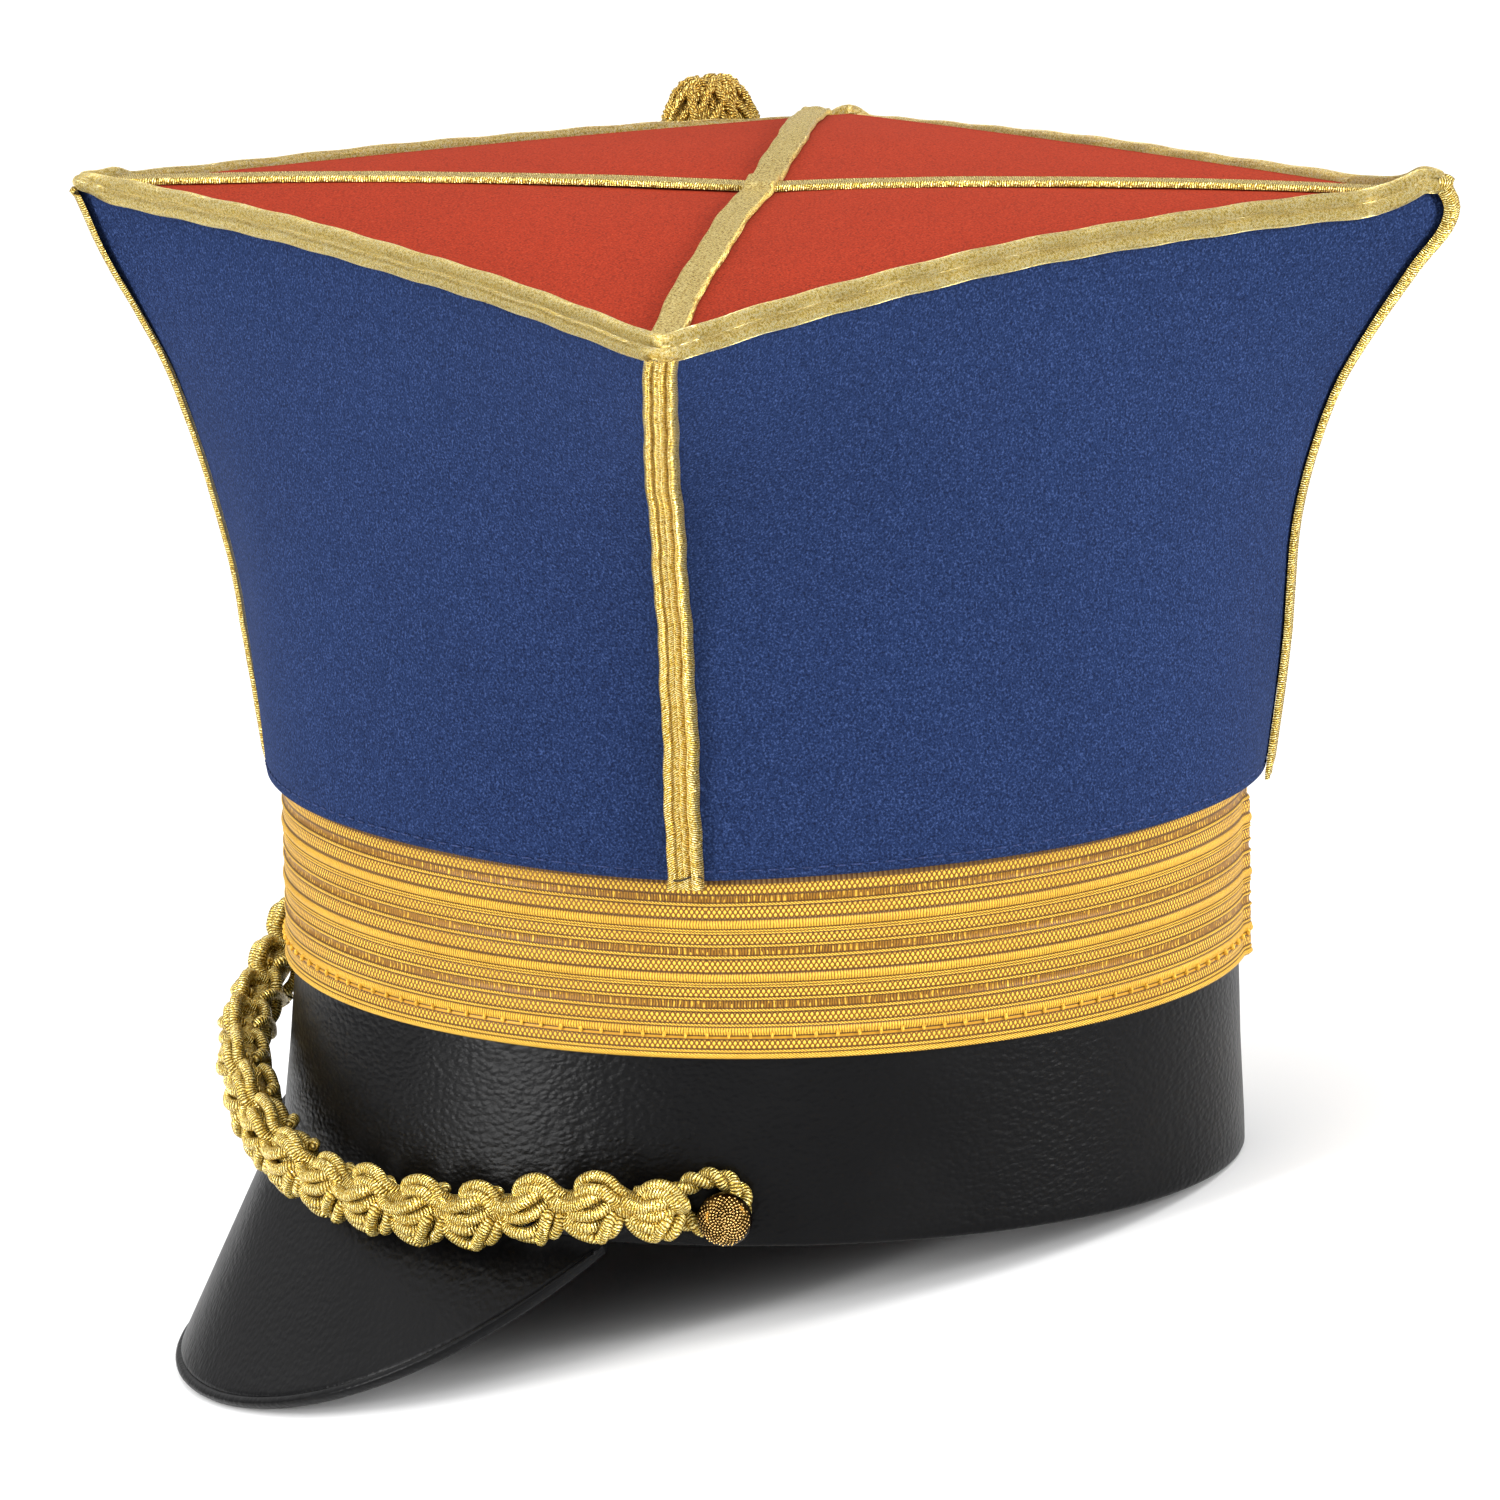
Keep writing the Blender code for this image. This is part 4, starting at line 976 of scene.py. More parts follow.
@dataclass
class LeatherWork:
    """The headband and the moulded peak."""

    steps: int = 240
    peak_length: float = 0.0543
    peak_half_angle: float = 78.5
    peak_root_height: float = 0.0036
    peak_lip_height: float = 0.0036
    peak_slope_front: float = 65.2
    peak_slope_end: float = 38.0
    peak_wall: float = 0.0026
    peak_lip: float = 0.0010
    peak_taper: float = 0.916
    peak_power: float = 3.75
    peak_columns: int = 121
    edge_inset: float = 0.0021
    edge_bead: float = 0.0004

    def ring(self, height: float, inset: float) -> Points:
        """Return a ring of the band at a height, a little inside its outer face."""
        half_x, half_y, middle = FORM.band(height)
        angle = np.linspace(0.0, math.tau, self.steps, endpoint=False)
        sway = 0.0001 * np.sin(5 * angle + 1.0) * np.sin(height * 60)
        x = (half_x - inset + sway) * np.cos(angle)
        y = middle + (half_y - inset + sway) * np.sin(angle)
        return np.stack((x, y, np.full(self.steps, height)), axis=1)

    def band(self, fitter: Fitter, wardrobe: Wardrobe) -> None:
        """Build the band with a rounded lower edge."""
        wall = FORM.band_wall
        section = [(0.0, 0.0009), (0.0003, 0.0003), (0.0009, 0.0)]
        section += [(height, 0.0) for height in np.linspace(0.003, FORM.band_height - 0.0006, 26)]
        section += [(FORM.band_height, 0.0006), (FORM.band_height, wall - 0.0006)]
        section += [(height, wall) for height in np.linspace(FORM.band_height - 0.0006, 0.003, 14)]
        section += [(0.0008, wall), (0.0002, wall - 0.0003), (0.0, wall - 0.0008)]
        points = np.stack([self.ring(height, inset) for height, inset in section])
        loft = Loft(points, plain_uv(len(section) + 1, self.steps + 1, 0.6, 0.2), wrap_rows=True)
        fitter.fit("cap_headband", loft.mesh("cap_headband"), ("leather_headband",),
                   wardrobe.band_leather)

    def peak_strip(self, turn: float) -> tuple[Points, Points]:
        """Return the peak's outer and inner line from its root to its edge.

        Args:
            turn: the place round the front, from -1 to 1.

        Returns:
            The two lines of points.
        """
        angle = -math.pi / 2 + turn * math.radians(self.peak_half_angle)
        fade = math.sqrt(max(math.cos(turn * math.pi / 2), 0.0))
        half_x, half_y, middle = FORM.band(0.0)
        outward = np.array((math.cos(angle) / half_x, math.sin(angle) / half_y, 0.0))
        outward /= np.linalg.norm(outward)
        slope = self.peak_slope_front + (self.peak_slope_end - self.peak_slope_front) * turn * turn
        slope = math.radians(slope)
        length = self.peak_length * (1 - abs(turn) ** self.peak_power) ** self.peak_taper
        base = np.array((half_x * math.cos(angle), middle + half_y * math.sin(angle), 0.0))
        up = np.array((0.0, 0.0, 1.0))
        down = outward * math.cos(slope) - up * math.sin(slope)
        face = outward * math.sin(slope) + up * math.cos(slope)
        root = base + outward * (FORM.gap + self.peak_lip) + up * self.peak_root_height * fade
        lip = root + up * self.peak_lip_height * fade
        over, under = [], []
        for share in (1.0, 0.6, 0.25):
            over.append(root + (lip - root) * share + outward * 0.0002 * (1 - share))
            under.append(base + outward * FORM.gap + up * over[-1][2])
        inset = min(self.edge_inset, 0.35 * length)
        run = np.concatenate((np.linspace(0.0, length - inset - 0.0012, 20),
                              length - inset + np.array((-0.0006, -0.0002, 0.0001, 0.0005, 0.0011)),
                              length - np.array((0.0006, 0.0002, 0.0))))
        run = np.maximum.accumulate(np.clip(run, 0.0, length))
        for at in run:
            stand = self.edge_bead * np.clip((at - (length - inset) + 0.0001) / 0.0004, 0.0, 1.0)
            dent = 0.0003 * math.exp(-((at - (length - inset) + 0.0002) / 0.0003) ** 2)
            corner = max(0.0, 1 - (length - at) / 0.0007)
            trim = self.peak_wall * 0.32 * (1 - math.sqrt(max(1 - corner ** 2, 0.0)))
            rise = min(1.0, length / 0.01)
            point = root + down * at + face * ((stand - dent) * rise - trim)
            below = root + down * at - face * (self.peak_wall - trim)
            inside = float((below - base) @ outward)
            if inside < FORM.gap:
                below = below + outward * (FORM.gap - inside)
                below[2] = point[2] - 0.0001
            over.append(point)
            under.append(below)
        return np.array(over), np.array(under)

    def peak(self, fitter: Fitter, wardrobe: Wardrobe) -> None:
        """Build the peak with its lip and its beaded edge."""
        rows = []
        for turn in np.sin(np.linspace(-math.pi / 2, math.pi / 2, self.peak_columns)) * 0.996:
            over, under = self.peak_strip(float(turn))
            rows.append(np.vstack((over, under[::-1])))
        points = np.stack(rows)
        uv = plain_uv(len(rows), points.shape[1] + 1, 0.12, 0.25)
        loft = Loft(points, uv, ends=Ends.STRIP)
        fitter.fit("cap_peak", loft.mesh("cap_peak"), ("leather_peak",),
                   wardrobe.peak_leather, 50.0)


@dataclass
class GalloonWork:
    """The woven band, from its corded lower edge up to under the blue hem."""

    steps: int = 420
    tuck: float = 0.0050
    full_length: float = 0.006
    seam_bulge: float = 0.0012
    seam_half_width: float = 0.0040
    # kind of stripe, height in millimetres, stand in millimetres at its middle
    stripes: tuple[tuple[Weave, float, float], ...] = (
        (Weave.CORD, 1.3, 0.50),
        (Weave.CORD, 0.7, 0.30),
        (Weave.BEADS, 2.1, 0.10),
        (Weave.PLAIN, 0.7, 0.05),
        (Weave.SATIN, 1.9, 0.45),
        (Weave.CORD, 0.6, 0.20),
        (Weave.BEADS, 2.5, 0.12),
        (Weave.CORD, 0.7, 0.38),
        (Weave.SHADOW, 1.7, -0.25),
        (Weave.CORD, 0.6, 0.30),
        (Weave.BEADS, 2.0, 0.00),
        (Weave.CORD, 0.5, 0.24),
        (Weave.CORD, 0.5, 0.24),
        (Weave.SATIN, 2.0, 0.50),
        (Weave.BEADS, 2.9, 0.12),
        (Weave.CORD, 0.7, 0.38),
        (Weave.SHADOW, 1.7, -0.25),
        (Weave.CORD, 0.6, 0.30),
        (Weave.BEADS, 2.1, 0.00),
        (Weave.CORD, 0.5, 0.24),
        (Weave.CORD, 0.5, 0.24),
        (Weave.SATIN, 2.1, 0.50),
        (Weave.BEADS, 2.7, 0.12),
        (Weave.CORD, 0.7, 0.38),
        (Weave.SHADOW, 1.6, -0.20),
        (Weave.BEADS, 2.4, 0.05),
    )

    def profile(self) -> list[tuple[float, float, float, float]]:
        """Return the woven face from the bottom as height, stand, kind and whether it lies at one of the
        grooves, which carries the painted shade there.
        """
        rows, height = [], 0.0
        for kind, tall, stand in self.stripes:
            steps = 4 if tall > 1.0 else 3
            for at in np.linspace(0.0, 1.0, steps + 1):
                at_groove = at in (0.0, 1.0)
                flat = min(1.0, 6 * at, 6 * (1 - at))
                shape = flat if kind is Weave.BEADS else math.sin(math.pi * at) ** 0.7
                edge = 0.00001 if at_groove else 0.0
                rows.append((height + tall * at / MM + (edge if at == 0.0 else -edge), stand * shape / MM,
                             kind.value, float(at_groove)))
            height += tall / MM
        return rows

    def face_point(self, angle: float, height: float, stand: float) -> tuple[float, float, float]:
        """Return a point on the band's face, a stand outside the plain galloon."""
        half_x, half_y, middle = FORM.band(height)
        off_seam = abs(angle - math.pi / 2) / (self.seam_half_width / FORM.rim_half_width)
        swell = math.cos(off_seam * math.pi / 2) ** 2 if off_seam < 1 else 0.0
        fade = min(1.0, max(0.0, (FORM.hem_low - height) / 0.002))
        out = FORM.gap + FORM.galloon_wall + stand + self.seam_bulge * swell * fade
        return (half_x + out) * math.cos(angle), middle + (half_y + out) * math.sin(angle), height

    def build(self, fitter: Fitter, wardrobe: Wardrobe) -> None:
        """Build the woven band, its stitches and its seam."""
        angles = np.linspace(0.0, math.tau, self.steps, endpoint=False)
        rows = self.profile()
        tall = rows[-1][0]
        points, uv, kinds, grooves = [], [], [], []
        for height, stand, kind, groove_shade in rows:
            ring = []
            for angle in angles:
                low, hem = FORM.galloon_at(angle), FORM.hem_at(angle)
                stretch = (hem + self.tuck - low) / (tall + self.full_length)
                z = low + height * stretch
                held = min(1.0, max(0.0, (hem + 0.0005 - z) / 0.001))
                ring.append(self.face_point(float(angle), z, stand * held))
            points.append(ring)
            kinds.append([kind] * self.steps)
            grooves.append([groove_shade] * self.steps)
            uv.append([(turn * 0.6, height) for turn in np.linspace(0.0, 1.0, self.steps + 1)])
        for share in (1.0, 0.5, 0.0):
            ring = []
            for angle in angles:
                low, hem = FORM.galloon_at(angle), FORM.hem_at(angle)
                z = low + (hem + self.tuck * 0.8 - low) * share
                half_x, half_y, middle = FORM.band(z)
                ring.append(((half_x + FORM.gap) * math.cos(angle),
                             middle + (half_y + FORM.gap) * math.sin(angle), z))
            points.append(ring)
            kinds.append([Weave.PLAIN.value] * self.steps)
            grooves.append([0.0] * self.steps)
            uv.append([(turn * 0.6, tall) for turn in np.linspace(0.0, 1.0, self.steps + 1)])
        uv.append(uv[0])
        # the mark at the stripe edges carries the painted shade along the grooves
        marks = {"weave": np.array(kinds), "groove_shade": np.array(grooves)}
        loft = Loft(np.array(points), np.array(uv), wrap_rows=True, marks=marks)
        band = fitter.fit("cap_galloon", loft.mesh("cap_galloon"), ("galloon_band",),
                          wardrobe.galloon)
        self.running_stitches(fitter, wardrobe)

    def running_stitches(self, fitter: Fitter, wardrobe: Wardrobe) -> None:
        """Set the short stitches that hold the galloon's lowest rib."""
        angles = np.linspace(0.0, math.tau, 360, endpoint=False)
        line = []
        for angle in angles:
            line.append(self.face_point(float(angle), FORM.galloon_at(angle) + 0.0052, 0.0004))
        path = wire_mesh("galloon_stitches", [np.array(line)], closed=True)
        mesh = wardrobe.stitches.run(path, {"Step": 0.0045, "Size": (0.0012, 0.0016, 0.0007),
                                            "Finish": wardrobe.gold_thread})
        fitter.fit("galloon_stitches", mesh)


@dataclass
class ClothWork:
    """The four blue panels and the red top."""

    columns: int = 84
    rows: int = 72
    rings: int = 40
    panel_height: float = 0.12
    stitch_height: float = 0.0021
    ridge_half_width: float = 0.011
    panels: tuple[tuple[str, int, int], ...] = (
        ("front_left_panel", 1, -1),
        ("front_right_panel", -1, -1),
        ("back_left_panel", 1, 1),
        ("back_right_panel", -1, 1),
    )

    def strip(self, share: float, side: int, end: int, inset: float) -> Points:
        """Return one level line of a panel's face.

        Args:
            share: the height share.
            side: 1 on the wearer's left, -1 on the right.
            end: 1 at the back, -1 at the front.
            inset: how far the line lies inside the outline.

        Returns:
            The line's points, from the side seam to the end seam.
        """
        x, y = spread(*FORM.quarter(share, inset, FORM.gap / 2), self.columns)
        to_end = FORM.end_share(x, y, share)
        height = FORM.body_height(to_end, share, side, end)
        near = np.exp(-(x / self.ridge_half_width) ** 2) * to_end ** 4
        y = y + FORM.ridge(share, end) * near
        height = height + FORM.tip_lift(share, end) * near
        px, py = FORM.place(side * x, end * y, share)
        return np.stack((px, py, height), axis=1)

    def panel(self, fitter: Fitter, wardrobe: Wardrobe, name: str, side: int, end: int) -> None:
        """Build one blue panel, turned in at the hem and dented by its stitches."""
        shares = np.concatenate((np.array((0.0, 0.004, 0.010, 0.016, 0.020, 0.026, 0.034)),
                                 np.linspace(0.05, 1.0, self.rows - 7)))
        outer, inner = [], []
        for share in shares:
            line = self.strip(float(share), side, end, 0.0)
            inward = self.strip(float(share), side, end, FORM.cloth_wall)
            wall = line - inward
            wall /= np.linalg.norm(wall, axis=1)[:, None]
            above = share * self.panel_height
            dent = 0.00028 * math.exp(-((above - self.stitch_height) / 0.0006) ** 2)
            turned = 0.0006 * max(0.0, 1 - above / 0.0009) ** 2
            run = np.linspace(0.0, 1.0, self.columns)
            ends = np.minimum(1.0, 12 * np.minimum(run, 1 - run))
            lie = 0.00028 * np.sin(run * 9.0 + side * 2 + end + share * 5) * np.sin(share * 8.0 + run * 4)
            lie = lie * ends
            outer.append(line - wall * (dent + turned - lie)[:, None])
            inner.append(inward)
        faces = np.concatenate((np.array(outer), np.array(inner)[::-1]))
        points = np.swapaxes(faces, 0, 1)
        uv = plain_uv(self.columns, points.shape[1] + 1, 0.28, 0.18)
        loft = Loft(points, uv, ends=Ends.STRIP)
        piece = fitter.fit("cap_" + name, loft.mesh("cap_" + name), (name,), wardrobe.blue)

    def hem_stitches(self, fitter: Fitter, wardrobe: Wardrobe) -> None:
        """Set the dark stitches that run round above the hem."""
        share = self.stitch_height / self.panel_height
        lines = []
        for _, side, end in self.panels:
            lines.append(self.strip(share, side, end, 0.0001)[2:-2])
        path = wire_mesh("hem_stitches", lines)
        mesh = wardrobe.stitches.run(path, {"Step": 0.0034, "Size": (0.00042, 0.00042, 0.0025),
                                            "Finish": wardrobe.blue_thread})
        fitter.fit("hem_stitches", mesh)

    def top(self, fitter: Fitter, wardrobe: Wardrobe) -> None:
        """Build the red top, domed and slightly puffed between its braids."""
        x, y = spread(*FORM.quarter(1.0), 61)
        middle = FORM.body(1.0)[2]
        outline = []
        for side, end, back in QUARTERS:
            quarter = [(side * px, end * py) for px, py in zip(x, y)]
            if back:
                quarter.reverse()
            outline.extend(quarter[:-1])
        flat = np.array(outline)
        rows, uv = [], []
        reaches = np.linspace(0.012, 0.998, self.rings)
        for reach, drop in [(r, FORM.top_wall) for r in reaches] + [(r, 0.0) for r in reaches[::-1]]:
            ring = []
            for px, py in flat * reach:
                height = FORM.top_height(px, middle + py) - drop
                lie = 0.0003 * math.sin(px * 70 + 1.0) * math.sin(py * 55) * (1 - reach)
                ring.append((px, middle + py, height + (lie if drop == 0.0 else 0.0)))
            rows.append(ring)
            uv.append([(p[0], p[1]) for p in ring] + [(ring[0][0], ring[0][1])])
        loft = Loft(np.array(rows), np.array(uv), ends=Ends.FAN)
        piece = fitter.fit("cap_top", loft.mesh("cap_top"), ("top_panel",), wardrobe.red)

    def build(self, fitter: Fitter, wardrobe: Wardrobe) -> None:
        """Build all cloth pieces."""
        for name, side, end in self.panels:
            self.panel(fitter, wardrobe, name, side, end)
        self.hem_stitches(fitter, wardrobe)
        self.top(fitter, wardrobe)


@dataclass
class BraidWork:
    """The gold braids on the edges, the seams and the top."""

    width: float = 0.0068
    thickness: float = 0.0026
    edge_height: float = 0.0066
    overhang: float = 0.0015
    edge_stations: int = 90
    side_round: float = 0.0080
    side_blunt: float = -0.0020
    end_round: float = 0.0050
    end_blunt: float = 0.0006
    side_wrap: float = 0.30
    end_wrap: float = 0.62
    # the end of the seam braid past the tip of each end corner, out and up in millimetres
    back_end: tuple[tuple[float, float], ...] = ((-1.0, 1.1), (-2.6, 1.5))
    front_end: tuple[tuple[float, float], ...] = ((0.0, 0.8), (-0.6, 1.7))
    # place across from -1 to 1, lift share of the thickness
    flat_profile: tuple[tuple[float, float], ...] = (
        (-1.00, 0.28), (-0.97, 0.62), (-0.86, 0.90), (-0.72, 1.00), (-0.58, 0.93), (-0.47, 0.70),
        (-0.41, 0.60), (-0.33, 0.72), (-0.22, 0.82), (-0.10, 0.76), (0.00, 0.64), (0.10, 0.76), (0.22, 0.82),
        (0.33, 0.72), (0.41, 0.60), (0.47, 0.70), (0.58, 0.93), (0.72, 1.00), (0.86, 0.90), (0.97, 0.62),
        (1.00, 0.28),
    )
    top_profile: tuple[tuple[float, float], ...] = (
        (-1.00, 0.25), (-0.97, 0.60), (-0.88, 0.86), (-0.74, 0.94), (-0.62, 0.84), (-0.50, 0.80),
        (-0.30, 0.86), (-0.12, 0.84), (-0.04, 0.80), (0.00, 0.74), (0.04, 0.80), (0.12, 0.84), (0.30, 0.86),
        (0.50, 0.80), (0.62, 0.84), (0.74, 0.94), (0.88, 0.86), (0.97, 0.60), (1.00, 0.25),
    )
    # each roll of the edge braid: shares of its height outward and up, lift at the back and at the front
    edge_rolls: tuple[tuple[float, float, float, float], ...] = (
        (0.08, 0.15, 0.0046, 0.0002),
        (0.28, -0.25, 0.0054, 0.0020),
    )
    edge_radius: float = 0.00155
    back_drawn_in: float = 0.0022
    back_slimness: tuple[float, float] = (0.55, 0.40)
    front_slimness: float = 0.45
    step_down: float = 0.01
    over_top_stations: int = 330
    over_top_inset: float = 0.0030
    over_top_slimness: float = 0.55
    cross_sway: float = 0.0068

    def outline(self) -> tuple[Points, Points]:
        """Trace the top's edge with blunted corners, and the outward direction at each point.

        Returns:
            The points and the directions, in the plane of the top.
        """
        x, y = FORM.quarter(1.0)
        run = flat_run(x, y)
        wanted = np.linspace(self.side_round, run[-1] - self.end_round, self.edge_stations)
        px, py = np.interp(wanted, run, x), np.interp(wanted, run, y)
        tip_x = np.array((x[0] + self.side_blunt,))
        tip_y = np.array((y[-1] + self.end_blunt,))
        quarter = np.stack((np.concatenate((tip_x, px, (0.0,))),
                            np.concatenate(((0.0,), py, tip_y))), axis=1)
        corners = []
        for side, end, back in QUARTERS:
            part = quarter * np.array((side, end))
            corners.append((part[::-1] if back else part)[:-1])
        line = np.vstack(corners)
        closed = np.column_stack((line, np.zeros(len(line))))
        smooth = smooth_line(closed, 0.0009, closed=True)[:, :2]
        along = np.roll(smooth, -1, axis=0) - np.roll(smooth, 1, axis=0)
        along /= np.linalg.norm(along, axis=1)[:, None]
        outward = np.stack((along[:, 1], -along[:, 0]), axis=1)
        outward *= np.sign(np.sum(outward * smooth, axis=1))[:, None]
        return smooth, outward

    def edge(self, fitter: Fitter, wardrobe: Wardrobe) -> None:
        """Build the two rolls round the top's edge."""
        flat, outward = self.outline()
        middle = FORM.body(1.0)[2]
        edge_z = np.array([FORM.top_height(x, middle + y) for x, y in flat])
        to_back = np.hypot(flat[:, 0], flat[:, 1] - flat[:, 1].max())
        to_right = np.hypot(flat[:, 0] - flat[:, 0].min(), flat[:, 1])
        to_front = np.hypot(flat[:, 0], flat[:, 1] - flat[:, 1].min())
        rise = np.exp(-(to_back / 0.013) ** 2)
        sink = -0.0017 * np.exp(-(to_right / 0.050) ** 2) + 0.0018 * np.exp(-(to_right / 0.0035) ** 2)
        rolls = []
        for out, up, back_lift, front_lift in self.edge_rolls:
            nod = -0.0012 * np.exp(-(to_back / 0.0035) ** 2)
            hump = back_lift * rise + nod + front_lift * np.exp(-(to_front / 0.007) ** 2) + sink
            far = np.clip(-flat[:, 0] / 0.006, 0.0, 1.0)
            hump += far * (0.0017 * np.exp(-((to_front - 0.006) / 0.0028) ** 2) - 0.0007)
            x = flat[:, 0] + outward[:, 0] * out * self.edge_height
            y = middle + flat[:, 1] + outward[:, 1] * out * self.edge_height
            y -= self.back_drawn_in * np.exp(-(to_back / 0.008) ** 2)
            sway = 0.00012 * np.sin(np.arange(len(x)) * 0.31) + 0.0001 * np.sin(np.arange(len(x)) * 0.077)
            rolls.append(np.stack((x, y, edge_z + up * self.edge_height + hump + sway), axis=1))
        path = wire_mesh("cap_edge_braid", rolls, closed=True)
        mesh = wardrobe.sweep.run(path, {"Radius": self.edge_radius, "Sides": 15,
                                         "Finish": wardrobe.edge_braid})
        fitter.fit("cap_edge_braid", mesh, ("top_edge_braid",))

    def near_seam(self, share: float, at_end: bool, distance: float) -> tuple[float, float]:
        """Find the body's outline a little way from a seam.

        Args:
            share: the height share.
            at_end: whether the seam is at the front or back.
            distance: how far from the seam, along the outline.

        Returns:
            The place along the seam's axis and across it.
        """
        x, y = FORM.quarter(share)
        if at_end:
            x, y = y[::-1], x[::-1]
        run = flat_run(x, y)
        return float(np.interp(distance, run, x)), float(np.interp(distance, run, y))

    def profile_uv(self, profile: Sequence[tuple[float, float]],
                   travelled: float) -> list[tuple[float, float]]:
        """Return the places on the material of one closed section.

        Args:
            profile: the section's places across and lifts.
            travelled: how far along the braid it lies.

        Returns:
            The places, over the outer face and back under the inner one.
        """
        across = [abs(place) * self.width / 2 for place, _ in profile]
        return [(travelled, value) for value in across + across[::-1] + across[:1]]

    def seam(self, fitter: Fitter, wardrobe: Wardrobe, name: str, side: int, end: int) -> None:
        """Build the braid over one seam of the body.

        Args:
            fitter: fits the piece.
            wardrobe: the finishes.
            name: the CAD node's name.
            side: 1 or -1 at a side seam, 0 at the front or back.
            end: 1 or -1 at the back or front seam, 0 at a side.
        """
        at_end = side == 0
        span = float(FORM.edge_height(np.float64(at_end), 1, end or 1) - FORM.hem_height(np.float64(at_end)))
        cover = 0.52 * self.edge_height - FORM.top_wall - FORM.gap
        top_share = 1 - (cover - 0.0012) / span
        low_share = -self.overhang / span
        if at_end:
            top_share = 1 - 0.0006 / span
        rows, uv = [], []
        shares = np.concatenate(([low_share], np.linspace(low_share + 0.004, top_share, 110)))
        for share in shares:
            on_body = max(float(share), 0.0)
            below = max(on_body - self.step_down, 0.0)
            here, low = (self.near_seam(level, at_end, 0.0)[0] for level in (on_body, below))
            drawn = raised = turn = 0.0
            if at_end:
                # the end seams are cut square to the cloth and are slimmer
                drawn, raised = FORM.ridge(on_body, end), FORM.tip_lift(on_body, end)
                step = here + drawn - low - FORM.ridge(below, end)
                turn = math.atan2(step, self.step_down * span + raised - FORM.tip_lift(below, end))
                slim, more = self.back_slimness
                full = self.thickness * (slim + more * on_body ** 8 if end > 0 else self.front_slimness)
            else:
                full = self.thickness * math.sqrt(1 + min((here - low) / (self.step_down * span), 1.5) ** 2)
            foot = max(0.0, 1 - (share - low_share) * span / 0.004)
            wide = 1 + 0.10 * foot ** 2
            sway = 0.00014 * math.sin(share * 31) + 0.0001 * math.sin(share * 83)
            outer, inner = [], []
            for place, lift in self.flat_profile:
                sign = 1.0 if place >= 0 else -1.0
                distance = abs(place) * self.width / 2 * wide
                along, across = self.near_seam(on_body, at_end, distance)
                x0, y0 = (across * sign, along * end) if at_end else (side * along, sign * across)
                to_end = float(FORM.end_share(np.float64(x0), np.float64(y0), on_body))
                panel = (1 if x0 >= 0 else -1, 1 if y0 >= 0 else -1)
                height = float(FORM.body_height(np.float64(to_end), float(share), *panel)) + raised
                for row, rise in ((outer, lift * full * (1 - 0.35 * foot)), (inner, 0.0)):
                    wrap = self.end_wrap if at_end else self.side_wrap
                    a = here + drawn + (along - here) * wrap + FORM.gap + rise * math.cos(turn)
                    c = sign * distance + sway
                    px, py = (c, end * a) if at_end else (side * a, c)
                    qx, qy = FORM.place(np.float64(px), np.float64(py), on_body)
                    row.append((float(qx), float(qy), height - rise * math.sin(turn)))
            rows.append(outer + inner[::-1])
        if at_end:
            rows.extend(self.corner_end(end, here + drawn + FORM.gap, height, turn, full, sway))
        travelled = 0.0
        for number, row in enumerate(rows):
            if number:
                travelled += float(np.linalg.norm(np.array(row[10]) - np.array(rows[number - 1][10])))
            uv.append(self.profile_uv(self.flat_profile, travelled))
        loft = Loft(np.array(rows), np.array(uv), ends=Ends.STRIP)
        fitter.fit("cap_" + name, loft.mesh("cap_" + name), (name,),
                   wardrobe.top_braid if at_end else wardrobe.braid)

    def corner_end(self, end: int, last: float, height: float, turn: float, full: float,
                   sway: float) -> list[list[tuple[float, float, float]]]:
        """Return the sections of a seam braid's end, which curls over the cloth's tip.

        Args:
            end: 1 at the back, -1 at the front.
            last: how far out the inner face of the last section lies.
            height: its height.
            turn: how far the braid leans there.
            full: the braid's thickness.
            sway: the braid's shift to one side.

        Returns:
            The sections' points.
        """
        middle = FORM.body(1.0)[2]
        out, up = last + full / 2 * math.cos(turn), height - full / 2 * math.sin(turn)
        spots = self.back_end if end > 0 else self.front_end
        bends = [(out + a / MM, up + b / MM, 0.0) for a, b in spots]
        line = smooth_line([(out, up, 0.0), *bends], 0.00035)[2:]
        along = np.gradient(line, axis=0)
        along /= np.linalg.norm(along, axis=1)[:, None]
        rows = []
        for (out, up, _), (step_out, step_up, _) in zip(line, along):
            outer, inner = [], []
            for place, lift in self.flat_profile:
                for row, rise in ((outer, lift - 0.5), (inner, -0.5)):
                    a, z = out + step_up * rise * full, up - step_out * rise * full
                    row.append((place * self.width / 2 + sway, middle + end * a, z))
            rows.append(outer + inner[::-1])
        return rows

